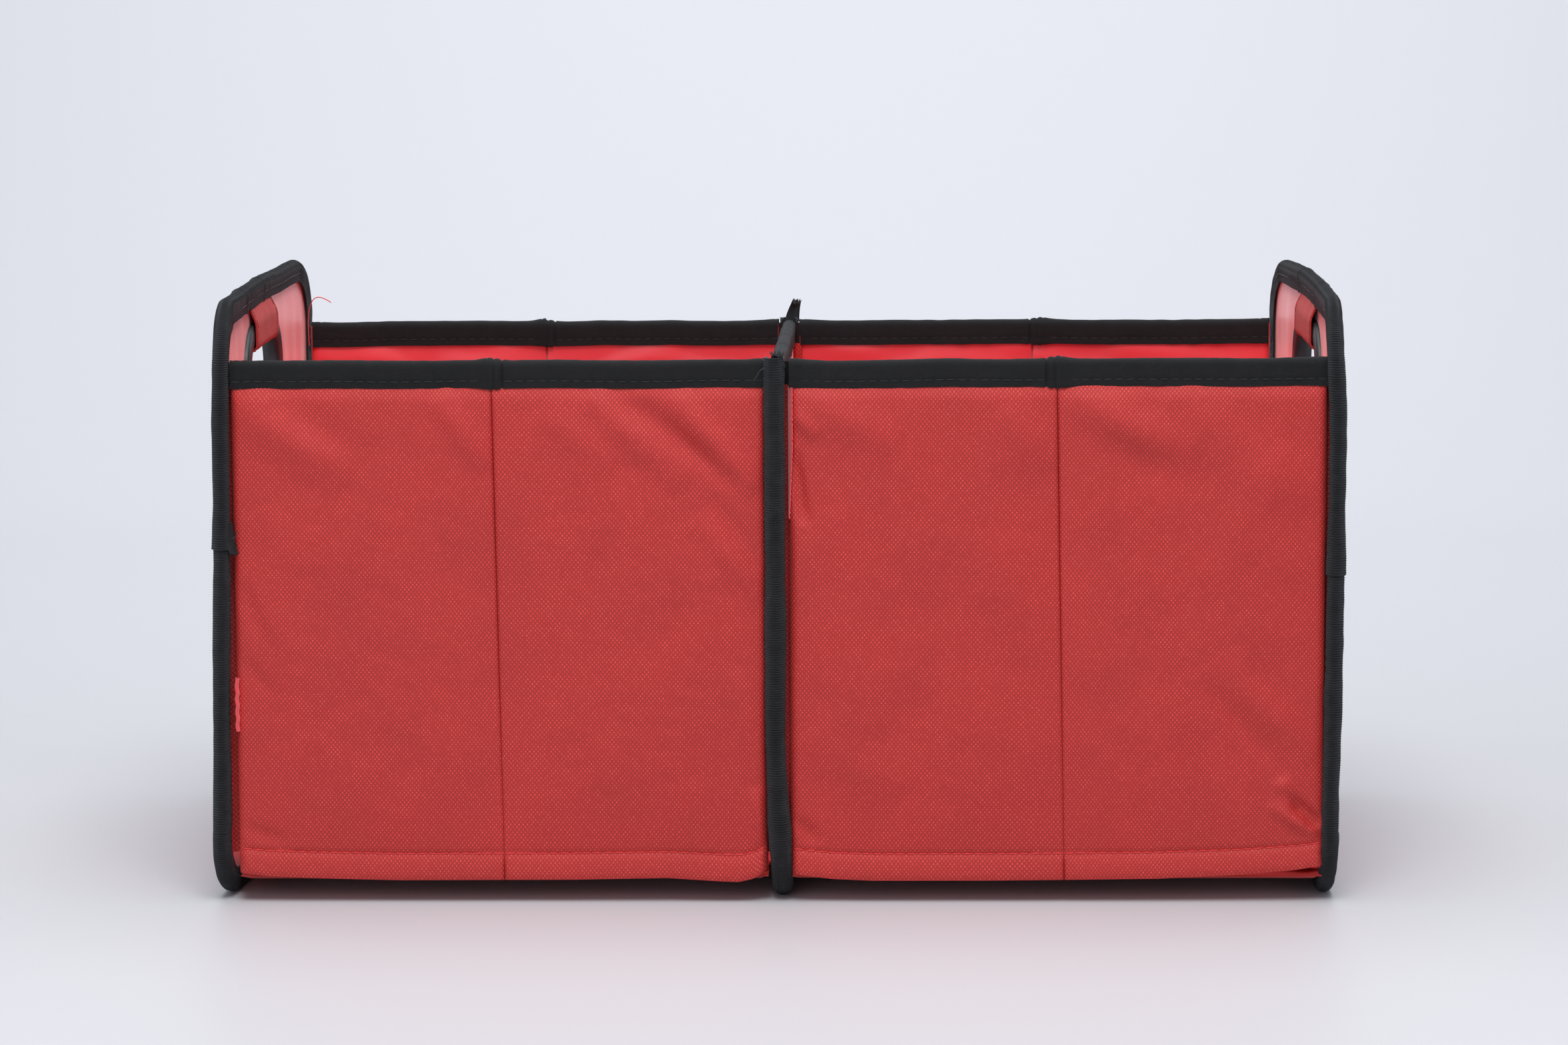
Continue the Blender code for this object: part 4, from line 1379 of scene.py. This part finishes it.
def floor_cloth(side_name):
    """The woven floor of a compartment, sewn to the hems and the panels' feet."""
    side = SIDES[side_name]
    node = "floor_cloth_" + side_name
    low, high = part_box(node)
    across = np.linspace(low.x, high.x, 73)
    deep = np.linspace(low.y, high.y, 76)
    x, y = np.meshgrid(across, deep, indexing="ij")
    edge = np.minimum(np.minimum(x - low.x, high.x - x), np.minimum(y - low.y, high.y - y))
    sag = (4.0 + 0.3 * waves(55 + side, 60 * MM)(x, y)) * MM * swelling(edge, 7 * MM)
    points = np.stack([x, y, high.z - 0.1 * MM - sag], axis=-1)
    width, length = high.x - low.x, high.y - low.y
    cloth = cloth_piece(node + "_sheet", points, width, length, (0, 0, 1), 0.6 * MM)
    finish_piece(cloth, "woven_cloth", "divider", [node])
    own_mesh(cloth)


# Loose ends

def frayed_end(name, centre, width, length, count, body):
    """Short yarns that stand up from a cut tape end."""
    draw = np.random.default_rng(len(name))
    spread = draw.uniform(-0.5, 0.5, count)
    deep = draw.normal(0, 0.4 * MM, count)
    rise = draw.uniform(-0.3, 0.4, count) * length * MM
    places = np.array(centre) * MM + np.column_stack([spread * width * MM, deep, rise])
    sideways = spread * 1.1 + draw.normal(0, 0.25, count)
    aims = np.column_stack([sideways, draw.normal(0, 0.3, count), np.ones(count)])
    upward = np.tile((0.0, -1.0, 0.0), (count, 1))
    piece = copies_along(name, thread_bead(length * MM, 0.22 * MM), places, aims, upward)
    return finish_piece(piece, "black_thread", body)


def tape_tail(name, base, width, height, lean, body):
    """The ragged end of a tape that stands above the seam it comes from."""
    share = np.linspace(0.0, 1.0, 17)[:, None]
    across = np.linspace(-0.5, 0.5, 13)[None, :]
    narrow = 1 - 0.45 * share
    ragged = 0.10 * height * np.sin(across * 23 + 1.0) * share
    x = base[0] + across * width * narrow + lean * share ** 1.5
    y = base[1] + 0.9 * np.sin(share * 2.2) + 0.35 * np.cos(across * 7)
    z = base[2] + share * height + ragged
    points = np.stack([x + 0 * y, y + 0 * x, z + 0 * x], axis=-1) * MM
    tail = cloth_piece(name, points, height * MM, width * MM, (0, -1, 0), 1.1 * MM)
    return finish_piece(tail, "ribbed_tape", body)


def tape_flap():
    """The loose corner of the left end tape's lap, which hangs over the tape's inner shoulder."""
    share = np.linspace(0.0, 1.0, 25)[:, None]
    across = np.linspace(-0.5, 0.5, 11)[None, :]
    x = -290.0 + 2.4 * share ** 1.6 + across * (3.6 + 0.8 * share)
    depth = 158.6 - 3.4 * (across + 0.5) ** 2 + 0.7 * share + 0.14 * np.cos(2 * np.pi * share * 13)
    z = 205.0 - 16.5 * share - 1.4 * across * share
    points = np.stack([x, -depth, z], axis=-1) * MM
    flap = cloth_piece("tape_flap", points, 17 * MM, 4.5 * MM, (0, -1, 0), 1.2 * MM)
    return finish_piece(flap, "ribbed_tape", "end_left")


def side_tab():
    """The plain folded tab that is sewn into the left front corner."""
    low, high = 93.0, 121.5
    across = np.linspace(0.0, 1.0, 19)[:, None]
    z = np.linspace(low, high, 25)[None, :]
    depth = 150.0 + 7.0 * np.sin(np.pi * across) ** 0.6 + 0 * z
    x = -288.0 + 2.2 * np.cos(np.pi * across) * 0.5 + 0.25 * np.sin(z * 0.9)
    points = np.stack([x, -depth, z + 0 * across], axis=-1) * MM
    tab = cloth_piece("side_tab", points, 18 * MM, 28 * MM, (1, 0, 0), PANEL_CLOTH_THICKNESS)
    finish_piece(tab, "coated_cloth", "front_outer_left")


def ragged_lining():
    """The bunched raw edge of lining cloth that shows between the divider and the right front wall."""
    share = np.linspace(0.0, 1.0, 13)[:, None]
    z = np.linspace(206.0, 275.5, 70)[None, :]
    taper = np.clip((z - 204.0) / 40.0, 0.0, 1.0)
    jagged = 0.35 * np.sin(z * 1.9) + 0.25 * np.sin(z * 3.7 + 1.0)
    x = 6.0 + (0.4 + 1.8 * taper) * share ** 2 + 0.3 * jagged * share
    depth = 148.0 + (7.4 + jagged) * share * (0.6 + 0.4 * taper)
    points = np.stack([x, -depth + 0 * x, z + 0 * x], axis=-1) * MM
    edge = cloth_piece("ragged_lining", points, 8 * MM, 70 * MM, (1, 0, 0), 0.45 * MM)
    return finish_piece(edge, "coated_cloth", "divider")


# Each thread's material, slot, body, radius in millimetres, and points
LOOSE_THREADS = {
    "corner_thread": ("red_thread", "lining_fabric", "end_left", 0.28, [
        (-290.0, 146.4, 276.0), (-290.4, 146.2, 284.0), (-290.6, 146.8, 291.8), (-289.7, 147.0, 298.6),
        (-287.0, 147.0, 304.8), (-281.5, 147.0, 305.2), (-276.4, 147.0, 301.8)]),
    "divider_thread": ("black_thread", "binding_tape", "divider", 0.22, [
        (-5.0, -156.5, 286.2), (-7.4, -157.6, 286.0), (-9.6, -157.8, 283.8), (-10.6, -157.2, 281.2),
        (-12.4, -156.4, 279.2)]),
    "tape_thread": ("black_thread", "binding_tape", "end_left", 0.2, [
        (-291.0, -157.0, 196.4), (-288.3, -158.4, 196.6), (-286.1, -158.6, 197.6), (-285.3, -158.4, 201.1)]),
}


# Stage

CAMERA_PLACE = (0.050, -2.165, 0.449)
CAMERA_PITCH = math.radians(6.94)
CAMERA_YAW = math.radians(-1.33)
CAMERA_ROLL = math.radians(-0.28)
SENSOR_WIDTH = 36.0
FOCAL_LENGTH_PIXELS = 5768
PHOTO_WIDTH_PIXELS = 2353
LIGHTS = {
    "key": {"place": (0.10, -1.30, 2.15), "target": (0, 0, 0.15), "size": 1.0, "power": 24.0,
            "colour": (1.0, 0.98, 0.96)},
    "fill": {"place": (-0.7, -2.4, 0.8), "target": (0, 0, 0.15), "size": 1.6, "power": 9.5,
             "colour": (0.95, 0.97, 1.0)},
    "top": {"place": (0.0, -0.45, 2.4), "target": (0, 0, 0.2), "size": 2.1, "power": 34.0,
            "colour": (1.0, 1.0, 1.0)},
    "background": {"place": (0.0, 1.2, 2.8), "target": (0, 3.2, 0.8), "size": 2.5, "power": 36.0,
                   "colour": (0.96, 0.98, 1.0)},
}


def make_camera():
    """The camera at the photograph's viewpoint."""
    ahead = Vector((
        math.sin(CAMERA_YAW) * math.cos(CAMERA_PITCH), math.cos(CAMERA_YAW) * math.cos(CAMERA_PITCH),
        -math.sin(CAMERA_PITCH),
    ))
    right = ahead.cross(Vector((0, 0, 1))).normalized()
    up = right.cross(ahead)
    rolled_right = right * math.cos(CAMERA_ROLL) + up * math.sin(CAMERA_ROLL)
    rolled_up = up * math.cos(CAMERA_ROLL) - right * math.sin(CAMERA_ROLL)
    turn = Matrix((rolled_right, rolled_up, -ahead)).transposed()
    bpy.ops.object.camera_add(location=CAMERA_PLACE, rotation=turn.to_euler())
    camera = bpy.context.object
    camera.name = "camera"
    camera.data.lens = FOCAL_LENGTH_PIXELS / PHOTO_WIDTH_PIXELS * SENSOR_WIDTH
    camera.data.sensor_width = SENSOR_WIDTH
    bpy.context.scene.camera = camera


def make_light(name, place, target, size, power, colour):
    """A square soft light aimed at a point."""
    aim = (Vector(target) - Vector(place)).to_track_quat("-Z", "Y").to_euler()
    bpy.ops.object.light_add(type="AREA", location=place, rotation=aim)
    light = bpy.context.object
    light.name = name
    light.data.shape = "SQUARE"
    light.data.size = size
    light.data.energy = power
    light.data.color = colour


def stage_material():
    """Pale seamless backdrop, with painted shade round the box that makes it a little darker there than in
    front and behind.
    """
    material, shader = new_material("pale_backdrop", (0.78, 0.79, 0.83), 0.5)
    place = add_node(material, "ShaderNodeTexCoord")
    parts = add_node(material, "ShaderNodeSeparateXYZ")
    join(material, place.outputs["Object"], parts.inputs["Vector"])
    # The ramp paints shade on the floor round the box, darkest a little behind it.
    painted_light_tones = colour_ramp(material, remap(material, parts.outputs["Y"], -0.6, 3.0, 0.0, 1.0), {
        0.0: (0.63, 0.64, 0.67), 0.24: (0.57, 0.58, 0.61), 0.62: (0.72, 0.73, 0.76), 1.0: (0.80, 0.80, 0.83),
    })
    join(material, painted_light_tones, shader.inputs["Base Color"])
    shader.inputs["Specular IOR Level"].default_value = 0.35
    return material


def make_backdrop():
    """A floor that curves up into a wall behind the box."""
    corners = [(-4.0, 0.0, 0.0), (3.2, 0.0, 1.8), (3.2, 5.0, 0.0)]
    line, length = rounded_line(corners, 0.08)
    across = np.linspace(-5.0, 5.0, 5)
    points = np.stack([
        np.repeat(across[:, None], len(line), axis=1),
        np.repeat(line[None, :, 0], len(across), axis=0),
        np.repeat(line[None, :, 1], len(across), axis=0) - 0.02 * MM,
    ], axis=-1)
    backdrop = wrap_grid("backdrop", points, 10.0, length)
    backdrop.data.materials.append(stage_material())
    backdrop.data.shade_smooth()


def light_world():
    """An even pale sky, seen without tone mapping."""
    scene = bpy.context.scene
    world = bpy.data.worlds.new("pale_room")
    world.use_nodes = True
    world.node_tree.nodes["Background"].inputs["Color"].default_value = (0.86, 0.9, 1.0, 1.0)
    world.node_tree.nodes["Background"].inputs["Strength"].default_value = 0.38
    scene.world = world
    scene.view_settings.view_transform = "Standard"


# Operators

class STORAGEBOX_OT_boards(Operator):
    """Give the stiffener boards inside the panels their finish"""
    bl_idname = "storagebox.boards"
    bl_label = "Stiffener boards"

    def execute(self, context):
        for name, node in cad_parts.items():
            if name.endswith("_board") and not name.startswith("end_"):
                node.data.materials.clear()
                node.data.materials.append(material_for("stiffener_board"))
        return {"FINISHED"}


class STORAGEBOX_OT_walls(Operator):
    """Cover each wall half in its outer cloth and lining"""
    bl_idname = "storagebox.walls"
    bl_label = "Wall cloths"

    def execute(self, context):
        for side_name, face_name, half in WALL_HALVES:
            wall_half(side_name, face_name, half)
        return {"FINISHED"}


class STORAGEBOX_OT_wall_tapes(Operator):
    """Bind each wall half's top edge"""
    bl_idname = "storagebox.wall_tapes"
    bl_label = "Wall tapes"

    def execute(self, context):
        for side_name, face_name, half in WALL_HALVES:
            wall_tape(side_name, face_name, half)
        return {"FINISHED"}


class STORAGEBOX_OT_end_panels(Operator):
    """Cover the end panels and bind their edges"""
    bl_idname = "storagebox.end_panels"
    bl_label = "End panels"

    def execute(self, context):
        for side_name in SIDES:
            end_cloth(side_name, True)
            end_cloth(side_name, False)
            end_board(side_name)
            end_tape(side_name)
        return {"FINISHED"}


class STORAGEBOX_OT_divider(Operator):
    """Cover the divider and bind its edges"""
    bl_idname = "storagebox.divider"
    bl_label = "Divider"

    def execute(self, context):
        divider_cloth(-1)
        divider_cloth(1)
        divider_tapes()
        return {"FINISHED"}


class STORAGEBOX_OT_handles(Operator):
    """Make the moulded handle frames and the cloth wraps round the grips"""
    bl_idname = "storagebox.handles"
    bl_label = "Handles"

    def execute(self, context):
        for side_name in SIDES:
            handle_frame(side_name, "inner")
            handle_frame(side_name, "outer")
            grip_wrap(side_name)
        return {"FINISHED"}


class STORAGEBOX_OT_hinges(Operator):
    """Join the walls' halves and the panels with strips of cloth and tape"""
    bl_idname = "storagebox.hinges"
    bl_label = "Hinge cloths"

    def execute(self, context):
        for side_name in SIDES:
            for face_name in FACES:
                hinge_cloths(side_name, face_name)
        return {"FINISHED"}


class STORAGEBOX_OT_loose_ends(Operator):
    """Add the tab, the frayed tape ends and the loose threads"""
    bl_idname = "storagebox.loose_ends"
    bl_label = "Loose ends"

    def execute(self, context):
        side_tab()
        tape_flap()
        ragged_lining()
        tape_tail("divider_back_tail", (1.6, 157.0, 289.0), 9.0, 12.0, 3.0, "divider")
        frayed_end("divider_back_fray", (4.6, 157.6, 300.6), 4.4, 3.0, 26, "divider")
        tape_tail("divider_front_tip", (0.0, -157.6, 287.0), 9.0, 6.0, 0.3, "divider")
        frayed_end("divider_front_fray", (0.2, -157.4, 293.2), 6.5, 2.8, 34, "divider")
        for name, (material, slot, body, radius, points) in LOOSE_THREADS.items():
            tube(name, points, radius * MM, material, slot, body)
        return {"FINISHED"}


class STORAGEBOX_OT_floor(Operator):
    """Make the covered base boards and the floor cloths"""
    bl_idname = "storagebox.floor"
    bl_label = "Floor"

    def execute(self, context):
        for side_name in SIDES:
            for half in HALVES:
                base_board(side_name, half)
            floor_cloth(side_name)
        return {"FINISHED"}


class STORAGEBOX_OT_stage(Operator):
    """Make the camera, the soft lights and the pale backdrop"""
    bl_idname = "storagebox.stage"
    bl_label = "Stage"

    def execute(self, context):
        make_camera()
        light_world()
        make_backdrop()
        for name, light in LIGHTS.items():
            make_light(name, **light)
        return {"FINISHED"}


class STORAGEBOX_PT_panel(Panel):
    """The box's pieces, sizes and colours"""
    bl_label = "Storage Box"
    bl_idname = "STORAGEBOX_PT_panel"
    bl_space_type = "VIEW_3D"
    bl_region_type = "UI"
    bl_category = "Storage Box"

    def draw(self, context):
        layout = self.layout
        for step in STEPS:
            layout.operator(step.bl_idname)
        for group in (context.scene.storage_box_sizes, context.scene.storage_box_colours):
            box = layout.box()
            for name in group.bl_rna.properties.keys():
                if name not in ("rna_type", "name"):
                    box.prop(group, name)


STEPS = (
    STORAGEBOX_OT_stage,
    STORAGEBOX_OT_boards,
    STORAGEBOX_OT_walls,
    STORAGEBOX_OT_wall_tapes,
    STORAGEBOX_OT_end_panels,
    STORAGEBOX_OT_divider,
    STORAGEBOX_OT_handles,
    STORAGEBOX_OT_hinges,
    STORAGEBOX_OT_floor,
    STORAGEBOX_OT_loose_ends,
)
CLASSES = (StorageBoxSizes, StorageBoxColours, *STEPS, STORAGEBOX_PT_panel)


def register():
    """Add the classes and the scene's settings."""
    for item in CLASSES:
        bpy.utils.register_class(item)
    bpy.types.Scene.storage_box_sizes = PointerProperty(type=StorageBoxSizes)
    bpy.types.Scene.storage_box_colours = PointerProperty(type=StorageBoxColours)


def unregister():
    """Take the classes and the settings away again."""
    del bpy.types.Scene.storage_box_colours
    del bpy.types.Scene.storage_box_sizes
    for item in reversed(CLASSES):
        bpy.utils.unregister_class(item)


def main():
    """Build the dressed box."""
    register()
    bpy.ops.storagebox.stage()
    bpy.ops.storagebox.boards()
    bpy.ops.storagebox.walls()
    bpy.ops.storagebox.wall_tapes()
    bpy.ops.storagebox.end_panels()
    bpy.ops.storagebox.divider()
    bpy.ops.storagebox.handles()
    bpy.ops.storagebox.hinges()
    bpy.ops.storagebox.floor()
    bpy.ops.storagebox.loose_ends()


if __name__ == "__main__":
    main()
